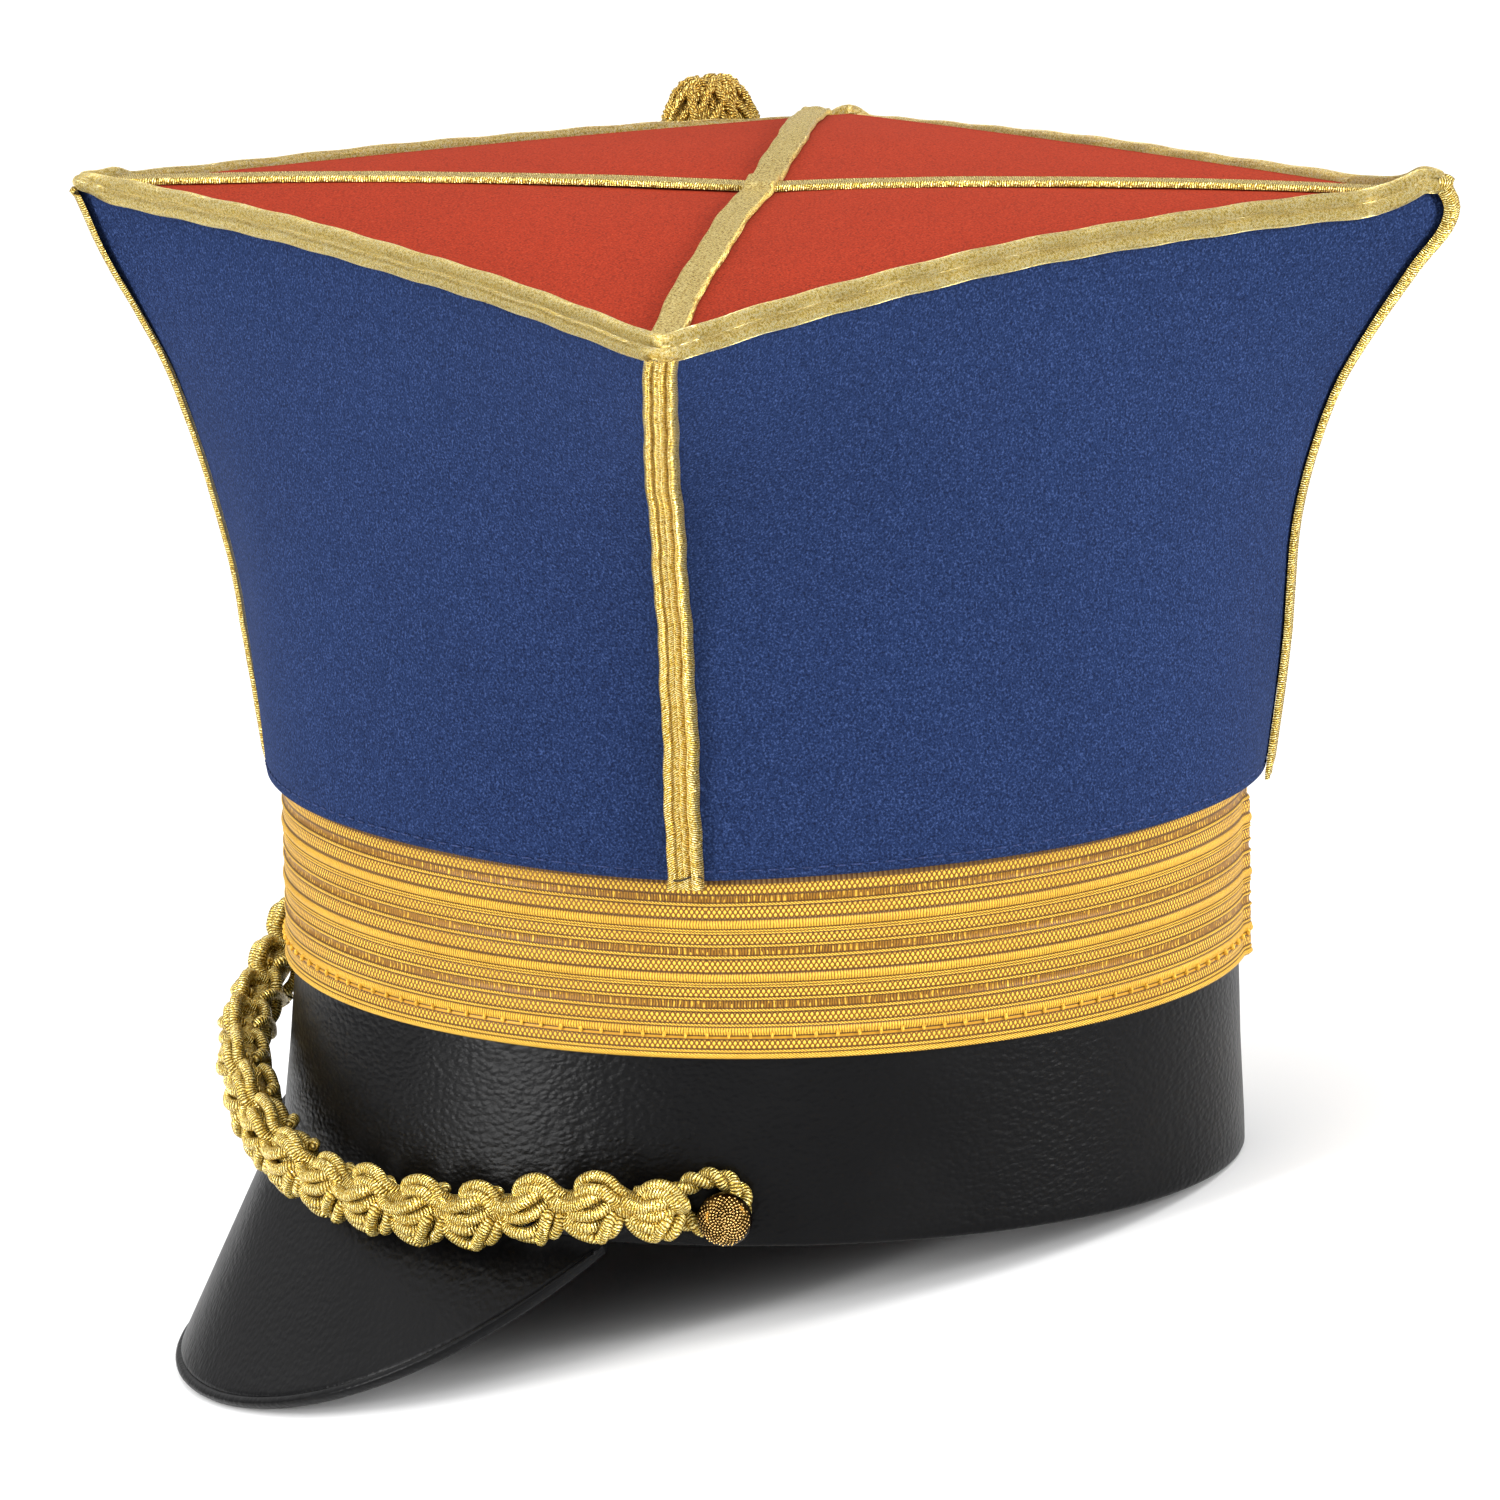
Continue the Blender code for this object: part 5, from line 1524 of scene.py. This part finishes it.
    def over_top(self, fitter: Fitter, wardrobe: Wardrobe, name: str, crossing_over: bool,
                 along_x: bool) -> None:
        """Build a braid over the red top from corner to corner.

        Args:
            fitter: fits the piece.
            wardrobe: the finishes.
            name: the CAD node's name.
            crossing_over: whether it lies over the other one where they cross.
            along_x: whether it runs from side to side.
        """
        middle = FORM.body(1.0)[2]
        reach = FORM.top_half_diagonal - self.over_top_inset
        rows, uv = [], []
        travelled = 0.0
        places = np.linspace(-reach, reach, self.over_top_stations)
        thickness = self.thickness * self.over_top_slimness
        lift_over = thickness * 0.85 if crossing_over else 0.0
        for place in places:
            outer, inner = [], []
            sway = 0.00022 * math.sin(place * 95 + 1) + 0.00012 * math.sin(place * 260)
            if along_x:
                sway -= self.cross_sway * min(max((-place - 0.010) / 0.120, 0.0), 1.0) ** 1.3
            away = min(max((abs(place) - self.width * 0.5) / (self.width * 0.8), 0.0), 1.0)
            over = lift_over * (1 - away * away * (3 - 2 * away))
            for share, lift in self.top_profile:
                across = share * self.width / 2
                limit = reach - 1.15 * abs(across)
                along = min(max(float(place), -limit), limit)
                x, y = (along, across + sway) if along_x else (across + sway, along)
                y += middle
                seat = FORM.top_height(x, y) + FORM.gap + over
                outer.append((x, y, seat + lift * thickness))
                inner.append((x, y, seat))
            if rows:
                travelled += float(places[1] - places[0])
            rows.append(outer + inner[::-1])
            uv.append(self.profile_uv(self.top_profile, travelled))
        loft = Loft(np.array(rows), np.array(uv), ends=Ends.STRIP)
        fitter.fit("cap_" + name, loft.mesh("cap_" + name), (name,), wardrobe.top_braid)

    def foot_stitch(self, fitter: Fitter, wardrobe: Wardrobe) -> None:
        """Sew the near seam braid's foot down with one dark thread."""
        share, height = 0.01, FORM.hem_low + 0.0012
        line = []
        for place in np.linspace(-1.0, 1.0, 17):
            along, across = self.near_seam(share, False, abs(place) * self.width / 2)
            y = math.copysign(across, place)
            qx, qy = FORM.place(np.float64(along), np.float64(y), share)
            drop = 0.0005 * math.sin(place * 3)
            line.append((float(qx) + self.thickness * 0.80, float(qy), height + drop))
        path = wire_mesh("foot_stitch", [np.array(line)])
        mesh = wardrobe.sweep.run(path, {"Radius": 0.00022, "Sides": 7, "Finish": wardrobe.black_thread})
        fitter.fit("foot_stitch", mesh)

    def build(self, fitter: Fitter, wardrobe: Wardrobe) -> None:
        """Build all braids."""
        self.edge(fitter, wardrobe)
        for name, side, end in (("left", 1, 0), ("right", -1, 0), ("front", 0, -1), ("back", 0, 1)):
            self.seam(fitter, wardrobe, f"{name}_seam_braid", side, end)
        self.over_top(fitter, wardrobe, "front_to_back_braid", False, False)
        self.over_top(fitter, wardrobe, "side_to_side_braid", True, True)
        self.foot_stitch(fitter, wardrobe)


@dataclass
class ChinCord:
    """The plaited cord with its button loop, its button and its knot."""

    diameter: float = 0.0160
    strand: float = 0.00134
    pitch: float = 0.0130
    button_radius: float = 0.00575
    button_dome: float = 0.0034
    button_angle: float = 2.5
    button_height: float = 0.0074
    button_standoff: float = 0.0052
    knot_size: tuple[float, float, float] = (0.0250, 0.0120, 0.0240)
    # the route's points, as in the model
    route: tuple[tuple[float, float, float], ...] = (
        (0.0948, -0.0042, 0.0095),
        (0.0944, -0.0110, 0.0104),
        (0.0931, -0.0222, 0.0106),
        (0.0897, -0.0370, 0.0092),
        (0.0845, -0.0508, 0.0084),
        (0.0767, -0.0665, 0.0083),
        (0.0671, -0.0797, 0.0093),
        (0.0563, -0.0903, 0.0112),
        (0.0440, -0.0988, 0.0143),
        (0.0310, -0.1049, 0.0183),
        (0.0170, -0.1090, 0.0221),
        (0.0030, -0.1107, 0.0256),
        (-0.0115, -0.1102, 0.0297),
        (-0.0255, -0.1078, 0.0355),
        (-0.0385, -0.1040, 0.0440),
        (-0.0505, -0.0982, 0.0550),
        (-0.0615, -0.0905, 0.0680),
        (-0.0715, -0.0812, 0.0830),
        (-0.0810, -0.0708, 0.1000),
        (-0.0905, -0.0600, 0.1180),
        (-0.1000, -0.0500, 0.1360),
        (-0.1083, -0.0415, 0.1540),
        (-0.1166, -0.0339, 0.1700),
        (-0.1243, -0.0284, 0.1820),
    )
    # where the plait hangs lower and further out than its route: distance along it, shift
    lower: tuple[tuple[float, ...], ...] = ((0.030, 0.060, 0.112, 0.150), (0.0, 0.0026, 0.0026, 0.0))
    further: tuple[tuple[float, ...], ...] = ((0.030, 0.060, 0.150, 0.190), (0.0, 0.0016, 0.0016, 0.0))
    # the clusters' size along the cord
    sizes: tuple[tuple[float, ...], ...] = (
        (0.0, 0.015, 0.035, 0.090, 0.120),
        (0.78, 0.90, 0.97, 0.98, 1.10),
    )
    first_cluster: float = 0.0062
    both_margins: float = 0.0112
    # the button loop's bends, backward and up in millimetres from the button
    loop: tuple[tuple[float, float], ...] = (
        (-14.5, 0.5), (-11.4, 3.6), (-8.4, 6.1), (-4.8, 7.7), (-1.2, 7.9), (1.8, 6.3), (3.5, 3.8),
        (3.2, 0.8), (1.0, -1.2), (-2.0, -2.4), (-5.6, -2.2), (-9.0, -1.0), (-13.5, -0.6),
    )
    # each pass of the knot: times round, waves, reach to the poles, swell of the weave, share of its size
    passes: tuple[tuple[int, int, float, int, float], ...] = (
        (5, 7, 1.22, 28, 1.0),
        (3, 4, 0.98, 8, 0.93),
        (2, 3, 1.35, 3, 0.97),
    )
    knot_place: float = 0.165
    knot_sink: float = 0.0008
    grains: int = 225
    grain_radius: float = 0.00026
    # each roll of one cluster as it is seen: towards the button, up and outward in millimetres
    rolls: tuple[tuple[tuple[float, float, float], ...], ...] = (
        ((-3.6, 2.0, -1.5), (-2.9, 4.4, 0.8), (-1.1, 6.1, 1.6), (1.6, 6.7, 1.7), (4.3, 5.8, 1.7),
         (6.1, 4.0, 1.8), (7.8, 2.2, 0.4), (8.6, 1.0, -2.0)),
        ((-2.0, 1.2, -1.0), (-1.7, 3.4, 2.3), (0.4, 4.4, 3.3), (3.1, 4.1, 3.3), (4.9, 2.7, 3.0),
         (6.0, 1.0, 1.0), (6.4, 0.2, -2.0)),
        ((-8.2, 0.6, -1.0), (-7.5, 1.5, 2.5), (-5.6, 0.9, 3.7), (-3.2, 0.7, 4.2), (-0.8, 1.5, 4.5),
         (1.6, 2.4, 4.1), (3.2, 3.2, 2.2), (4.0, 3.6, -0.5)),
        ((-4.8, -2.0, -1.0), (-4.3, -1.2, 2.8), (-1.6, -1.5, 4.2), (1.1, -1.2, 4.4), (3.2, -0.2, 3.7),
         (4.6, 0.8, 1.4), (5.0, 1.4, -1.5)),
        ((-6.7, 0.2, -1.8), (-6.5, -1.4, 1.1), (-5.4, -3.6, 2.2), (-2.9, -5.6, 2.5), (0.4, -6.8, 1.9),
         (1.5, -6.7, -0.5), (1.0, -5.2, -2.4)),
        ((-5.0, -1.8, -0.4), (-4.4, -3.0, 2.4), (-2.3, -3.9, 3.5), (0.5, -4.2, 3.5), (1.9, -3.6, 1.8),
         (2.2, -2.6, -1.0)),
        ((4.1, -0.4, 0.6), (4.4, -1.5, 3.3), (3.5, -3.5, 3.6), (2.1, -6.0, 2.7), (1.2, -7.0, 1.0),
         (0.8, -6.2, -1.6)),
        ((6.6, -0.8, -0.6), (6.7, -2.2, 2.1), (6.2, -4.2, 2.5), (4.8, -5.7, 1.8), (3.8, -5.9, -0.4),
         (3.4, -4.6, -2.4)),
        ((-6.0, -3.4, -1.6), (-3.0, -2.2, -3.4), (0.0, 1.0, -3.8), (3.0, 3.2, -3.0), (5.0, 3.0, -1.4)),
        ((-6.2, 2.8, -1.8), (-2.5, 2.6, -3.4), (2.0, -1.4, -3.8), (5.2, -3.4, -2.0)),
    )

    def frames(self, at: Points) -> tuple[Points, Points, Points]:
        """Return places on the route and the upward and outward directions there.

        Args:
            at: distances along the route.

        Returns:
            The places, the upward directions and the outward directions.
        """
        line = smooth_line(self.route, 0.001)
        run = run_of(line)
        place, ahead, behind = (
            np.stack([np.interp(spots, run, line[:, axis]) for axis in range(3)], axis=1)
            for spots in (at, at + 0.002, at - 0.002)
        )
        along = ahead - behind
        along /= np.linalg.norm(along, axis=1)[:, None]
        outward = place * np.array((1.0, 1.0, 0.0))
        outward /= np.linalg.norm(outward, axis=1)[:, None]
        outward -= along * np.sum(outward * along, axis=1)[:, None]
        outward /= np.linalg.norm(outward, axis=1)[:, None]
        up = np.cross(outward, along)
        up *= np.where(up[:, 2:3] < 0, -1.0, 1.0)
        lower, further = np.interp(at, *self.lower), np.interp(at, *self.further)
        return place - up * lower[:, None] + outward * further[:, None], up, outward

    def plait(self) -> list[Points]:
        """Return the middle lines of the plait's rolls, cluster after cluster."""
        total = float(run_of(smooth_line(self.route, 0.001))[-1])
        count = int(round((total - 0.006) / self.pitch))
        noise = np.random.default_rng(7)
        lines = []
        for number in range(count):
            middle = self.first_cluster + number * (total - self.both_margins) / (count - 1)
            turn = noise.normal(0.0, 0.07)
            size = float(np.interp(middle, *self.sizes))
            for roll in self.rolls:
                fine = smooth_line(roll, 0.72)
                fine = fine * size * (1 + 0.05 * noise.standard_normal()) + noise.normal(0.0, 0.28, 3)
                fine[:, 0], fine[:, 1] = fine[:, 0] - turn * fine[:, 1], fine[:, 1] + turn * fine[:, 0]
                at = np.clip(middle - fine[:, 0] / MM, 0.0005, total - 0.0005)
                place, up, outward = self.frames(at)
                lines.append(place + up * fine[:, 1:2] / MM + outward * (fine[:, 2:3] / MM))
        return lines

    def twisted(self, core: Points, out: Points, lay: float, pitch: float,
                closed: bool = False) -> list[Points]:
        """Return two strands twisted about a line.

        Args:
            core: the line's points.
            out: a direction at each point, that isn't the line's own.
            lay: how far each strand lies from the line.
            pitch: the length of one full turn.
            closed: whether the line comes back to its start.

        Returns:
            The two strands' lines.
        """
        if closed:
            along = np.roll(core, -1, axis=0) - np.roll(core, 1, axis=0)
        else:
            along = np.gradient(core, axis=0)
        along /= np.linalg.norm(along, axis=1)[:, None]
        side = out - along * np.sum(out * along, axis=1)[:, None]
        side /= np.linalg.norm(side, axis=1)[:, None]
        other = np.cross(along, side)
        run = run_of(np.vstack((core, core[:1])))
        turns = run[-1] / pitch
        turn = run[:-1] / run[-1] * math.tau * (round(turns) if closed else turns)
        return [core + lay * (side * np.cos(turn + start)[:, None] + other * np.sin(turn + start)[:, None])
                for start in (0.0, math.pi)]

    def button_loop(self) -> list[Points]:
        """Return the two twisted strands of the loop that holds the cord on its button."""
        place, _, side = self.button_frame()
        half_x, half_y, middle = FORM.band(self.button_height)
        line = []
        for y, z in self.loop:
            point = place + side * y / MM
            surface = half_x * math.sqrt(max(0.0, 1 - ((point[1] - middle) / half_y) ** 2))
            line.append((surface + 0.0023, point[1], self.button_height + z / MM))
        core = smooth_line(line, 0.0006)
        out = np.tile((1.0, 0.0, 0.0), (len(core), 1))
        return self.twisted(core, out, 0.00105, 0.0080)

    def button_frame(self) -> tuple[Points, Points, Points]:
        """Return the button's place on the band, the outward direction and the backward direction."""
        half_x, half_y, middle = FORM.band(self.button_height)
        angle = math.radians(self.button_angle)
        place = np.array((half_x * math.cos(angle), middle + half_y * math.sin(angle), self.button_height))
        outward = np.array((math.cos(angle) / half_x, math.sin(angle) / half_y, 0.0))
        outward /= np.linalg.norm(outward)
        return place, outward, np.array((-outward[1], outward[0], 0.0))

    def cord(self, fitter: Fitter, wardrobe: Wardrobe, knot: bpy.types.Object) -> None:
        middle_line = smooth_line(self.route, 0.002)
        for name, lines, radius in (("button_loop", self.button_loop(), 0.00130),
                                    ("cord_core", [self.frames(run_of(middle_line)[1:-1])[0]], 0.0031),
                                    ("plaited_cord", self.plait(), self.strand)):
            shares = [np.ones(len(line)) for line in lines]
            for share in shares:
                share[0] = share[-1] = 0.02
            path = wire_mesh(name, lines, thickness=shares)
            mesh = wardrobe.sweep.run(path, {"Radius": radius, "Sides": 11, "Finish": wardrobe.cord})
            nodes = ("chin_cord",) if name == "plaited_cord" else ()
            fitter.fit(name, mesh, nodes, None, 80.0)
        route = smooth_line(self.route, 0.004)
        length = float(run_of(route)[-1])
        LOG.info("chin cord length %.4f m", length)

    def knot(self, fitter: Fitter, wardrobe: Wardrobe) -> bpy.types.Object:
        """Build the knot: one cord wound round a rounded core in crossing turns."""
        x, y = FORM.quarter(1.0)
        run = flat_run(x, y)
        at = self.knot_place * run[-1]
        px, py = float(np.interp(at, run, x)), float(np.interp(at, run, y))
        to_end = FORM.end_share(np.float64(px), np.float64(py), 1.0)
        height = float(FORM.edge_height(to_end, -1, -1))
        outward = np.array((-1.0, -1.0, 0.0)) / math.sqrt(2)
        side = np.array((1.0, -1.0, 0.0)) / math.sqrt(2)
        edge = np.array((-px, FORM.body(1.0)[2] - py, height))
        middle = edge + outward * (0.5 * BraidWork.edge_height + 2 * FORM.gap + self.knot_size[1] / 2)
        middle[2] -= self.knot_sink
        half = np.array(self.knot_size) / 2 + np.array((-0.0012, 0.0002, 0.0002))
        lines = []
        for turns, waves, reach, weave, size in self.passes:
            t = np.linspace(0.0, math.tau, 330 * turns // 3, endpoint=False)
            swing = reach * np.cos(waves * t + turns)
            lon = turns * t
            swell = size * (1 + 0.075 * np.sin(weave * t))
            foot = 1.22 - 0.40 * np.sin(swing)
            local = np.stack((half[0] * np.cos(swing) * np.cos(lon) * foot,
                              half[1] * np.cos(swing) * np.sin(lon), half[2] * np.sin(swing)), axis=1)
            out = (local * swell[:, None]) @ np.stack((side, outward, (0.0, 0.0, 1.0)))
            lines.extend(self.twisted(middle + out, out, 0.00058, 0.0034, closed=True))
        path = wire_mesh("cord_knot_ball", lines, closed=True)
        mesh = wardrobe.sweep.run(path, {"Radius": 0.00066, "Sides": 8, "Finish": wardrobe.knot_cord})
        knot = fitter.fit("cord_knot_ball", mesh, ("cord_knot",), None, 80.0)
        rows = []
        for swing in np.linspace(-1.5, 1.5, 15):
            lon = np.linspace(0.0, math.tau, 28, endpoint=False)
            foot = 0.90 * (1.22 - 0.40 * math.sin(swing))
            ring = middle + np.outer(half[0] * math.cos(swing) * foot * np.cos(lon), side)
            ring = ring + np.outer(half[1] * 0.88 * math.cos(swing) * np.sin(lon), outward)
            rows.append(ring + np.array((0.0, 0.0, half[2] * 0.90 * math.sin(swing))))
        loft = Loft(np.array(rows), plain_uv(15, 29, 0.05, 0.03), ends=Ends.FAN)
        fitter.fit("knot_core", loft.mesh("knot_core"), (), wardrobe.knot_cord)
        return knot

    def button(self, fitter: Fitter, wardrobe: Wardrobe) -> None:
        """Build the button: a pebbled dome with a rim, on its shank, the dome in a very dark brass as
        painted shade between the grains.
        """
        place, outward, side = self.button_frame()
        up = np.array((0.0, 0.0, 1.0))
        centre = place + outward * self.button_standoff
        radius, dome = self.button_radius, self.button_dome
        back = -(self.button_standoff - FORM.gap)
        profile = [(radius * 0.01, dome)]
        profile += [(radius * s, dome * math.sqrt(1 - s * s)) for s in np.linspace(0.1, 0.94, 12)]
        profile += [(radius * 0.965, dome * 0.24), (radius * 0.985, dome * 0.16), (radius, dome * 0.04)]
        profile += [(radius * 0.99, -dome * 0.10), (radius * 0.93, -dome * 0.18), (0.0013, -dome * 0.18)]
        profile += [(0.0013, back * 0.6), (0.0013, back), (0.00005, back)]
        angle = np.linspace(0.0, math.tau, 64, endpoint=False)
        rows = []
        for r, h in profile:
            ring = centre + np.outer(r * np.cos(angle), side) + np.outer(r * np.sin(angle), up) + outward * h
            rows.append(ring)
        loft = Loft(np.array(rows), plain_uv(len(rows), 65, 0.03, 0.01), ends=Ends.FAN)
        # the dome is painted shade between the raised grains
        fitter.fit("cap_button", loft.mesh("cap_button"), ("cord_button",), wardrobe.painted_shade_brass,
                   40.0)
        spots = []
        golden = math.pi * (3 - math.sqrt(5))
        for number in range(self.grains):
            share = math.sqrt((number + 0.5) / self.grains) * 0.93
            turn = number * golden
            r, h = radius * share, dome * math.sqrt(1 - share * share) + 0.00002
            spots.append(centre + side * r * math.cos(turn) + up * r * math.sin(turn) + outward * h)
        mesh = bpy.data.meshes.new("button_grains")
        mesh.from_pydata(FORM.rest(np.array(spots)).tolist(), [], [])
        grains = wardrobe.grains.run(mesh, {"Radius": self.grain_radius, "Finish": wardrobe.grain_brass})
        fitter.fit("button_grains", grains)

    def build(self, fitter: Fitter, wardrobe: Wardrobe) -> None:
        """Build the cord with all that is on it."""
        knot = self.knot(fitter, wardrobe)
        self.cord(fitter, wardrobe, knot)
        self.button(fitter, wardrobe)
        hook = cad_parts["cord_hook"]
        hook.data.materials.clear()
        hook.data.materials.append(wardrobe.brass)


def toward(azimuth: float, elevation: float) -> tuple[float, float, float]:
    """Return the direction at an azimuth and elevation in radians."""
    level = math.cos(elevation)
    return level * math.cos(azimuth), level * math.sin(azimuth), math.sin(elevation)


@dataclass(frozen=True)
class Lamp:
    """A soft box: azimuth and elevation from the cap in degrees, distance, width, height and power."""

    name: str
    azimuth: float
    elevation: float
    distance: float
    width: float
    height: float
    watts: float

    def hang(self) -> None:
        """Hang the lamp, facing the cap."""
        data = bpy.data.lights.new(self.name, "AREA")
        data.shape = "RECTANGLE"
        data.size, data.size_y = self.width, self.height
        data.energy = self.watts
        lamp = bpy.data.objects.new(self.name, data)
        target = Vector((0.0, 0.0, 0.10))
        away = Vector(toward(math.radians(self.azimuth), math.radians(self.elevation)))
        lamp.location = target + away * self.distance
        lamp.rotation_euler = (lamp.location - target).to_track_quat("Z", "Y").to_euler()
        bpy.context.scene.collection.objects.link(lamp)


@dataclass(frozen=True)
class Studio:
    """Camera, floor and light."""

    azimuth: float = 8.20
    elevation: float = 12.77
    roll: float = -1.05
    lens: float = 248.13
    distance: float = 2.200
    aim_right: float = -0.00266
    aim_up: float = 0.0858
    sky: float = 1.55
    horizon: float = 0.30
    lamps: tuple[Lamp, ...] = (
        Lamp("key_box", -50.0, 40.0, 1.6, 0.7, 0.7, 5.0),
        Lamp("left_strip", -50.0, 5.0, 1.5, 0.24, 0.8, 24.0),
        Lamp("right_strip", 68.0, 5.0, 1.5, 0.34, 0.8, 34.0),
    )

    def camera(self) -> None:
        """Set the camera where the photographer stood, seen from the cap."""
        a, e, r = (math.radians(value) for value in (self.azimuth, self.elevation, self.roll))
        back = np.array(toward(a, e))
        right = np.array((-math.sin(a), math.cos(a), 0.0))
        up = np.cross(back, right)
        across = math.cos(r) * right + math.sin(r) * up
        upward = -math.sin(r) * right + math.cos(r) * up
        aim = self.aim_right * right + np.array((0.0, 0.0, self.aim_up))
        place = FORM.rest(aim + back * self.distance)
        columns = [FORM.rest_direction(direction) for direction in (across, upward, back)]
        data = bpy.data.cameras.new("photo_camera")
        data.lens, data.sensor_width, data.sensor_fit = self.lens, 36.0, "HORIZONTAL"
        data.clip_start, data.clip_end = 0.05, 60.0
        camera = bpy.data.objects.new("photo_camera", data)
        turn = Matrix(np.array(columns).T.tolist()).to_4x4()
        camera.matrix_world = Matrix.Translation(Vector(place)) @ turn
        bpy.context.scene.collection.objects.link(camera)
        bpy.context.scene.camera = camera

    def floor(self) -> None:
        """Lay the pale floor."""
        shape = bmesh.new()
        bmesh.ops.create_grid(shape, x_segments=8, y_segments=8, size=14.0)
        mesh = bpy.data.meshes.new("studio_floor")
        shape.to_mesh(mesh)
        shape.free()
        mesh.materials.append(FloorPaper().make())
        floor = bpy.data.objects.new("studio_floor", mesh)
        bpy.context.scene.collection.objects.link(floor)

    def world(self) -> None:
        """Light the room softly from above."""
        world = bpy.data.worlds.new("studio_room")
        bpy.context.scene.world = world
        world.use_nodes = True
        tree = world.node_tree
        back = tree.nodes["Background"]
        place = add(tree, "ShaderNodeTexCoord").outputs["Generated"]
        height = add(tree, "ShaderNodeSeparateXYZ", None, {0: place}).outputs[2]
        share = add(tree, "ShaderNodeMapRange", {"interpolation_type": "SMOOTHSTEP"},
                    {0: height, 1: 0.10, 2: 0.72, 3: self.horizon, 4: self.sky}).outputs[0]
        tree.links.new(share, back.inputs["Strength"])
        back.inputs["Color"].default_value = (1.0, 1.0, 1.0, 1.0)

    def build(self) -> None:
        """Set up camera, floor and light."""
        self.camera()
        self.floor()
        self.world()
        for lamp in self.lamps:
            lamp.hang()
        bpy.context.scene.view_settings.view_transform = "Standard"


def main() -> None:
    """Dress the cap piece by piece."""
    logging.basicConfig(level=logging.INFO, format="%(name)s: %(message)s")
    Studio().build()
    wardrobe = Wardrobe()
    fitter = Fitter()
    LeatherWork().band(fitter, wardrobe)
    LeatherWork().peak(fitter, wardrobe)
    GalloonWork().build(fitter, wardrobe)
    ClothWork().build(fitter, wardrobe)
    BraidWork().build(fitter, wardrobe)
    ChinCord().build(fitter, wardrobe)
    bpy.context.view_layer.update()


if __name__ == "__main__":
    main()
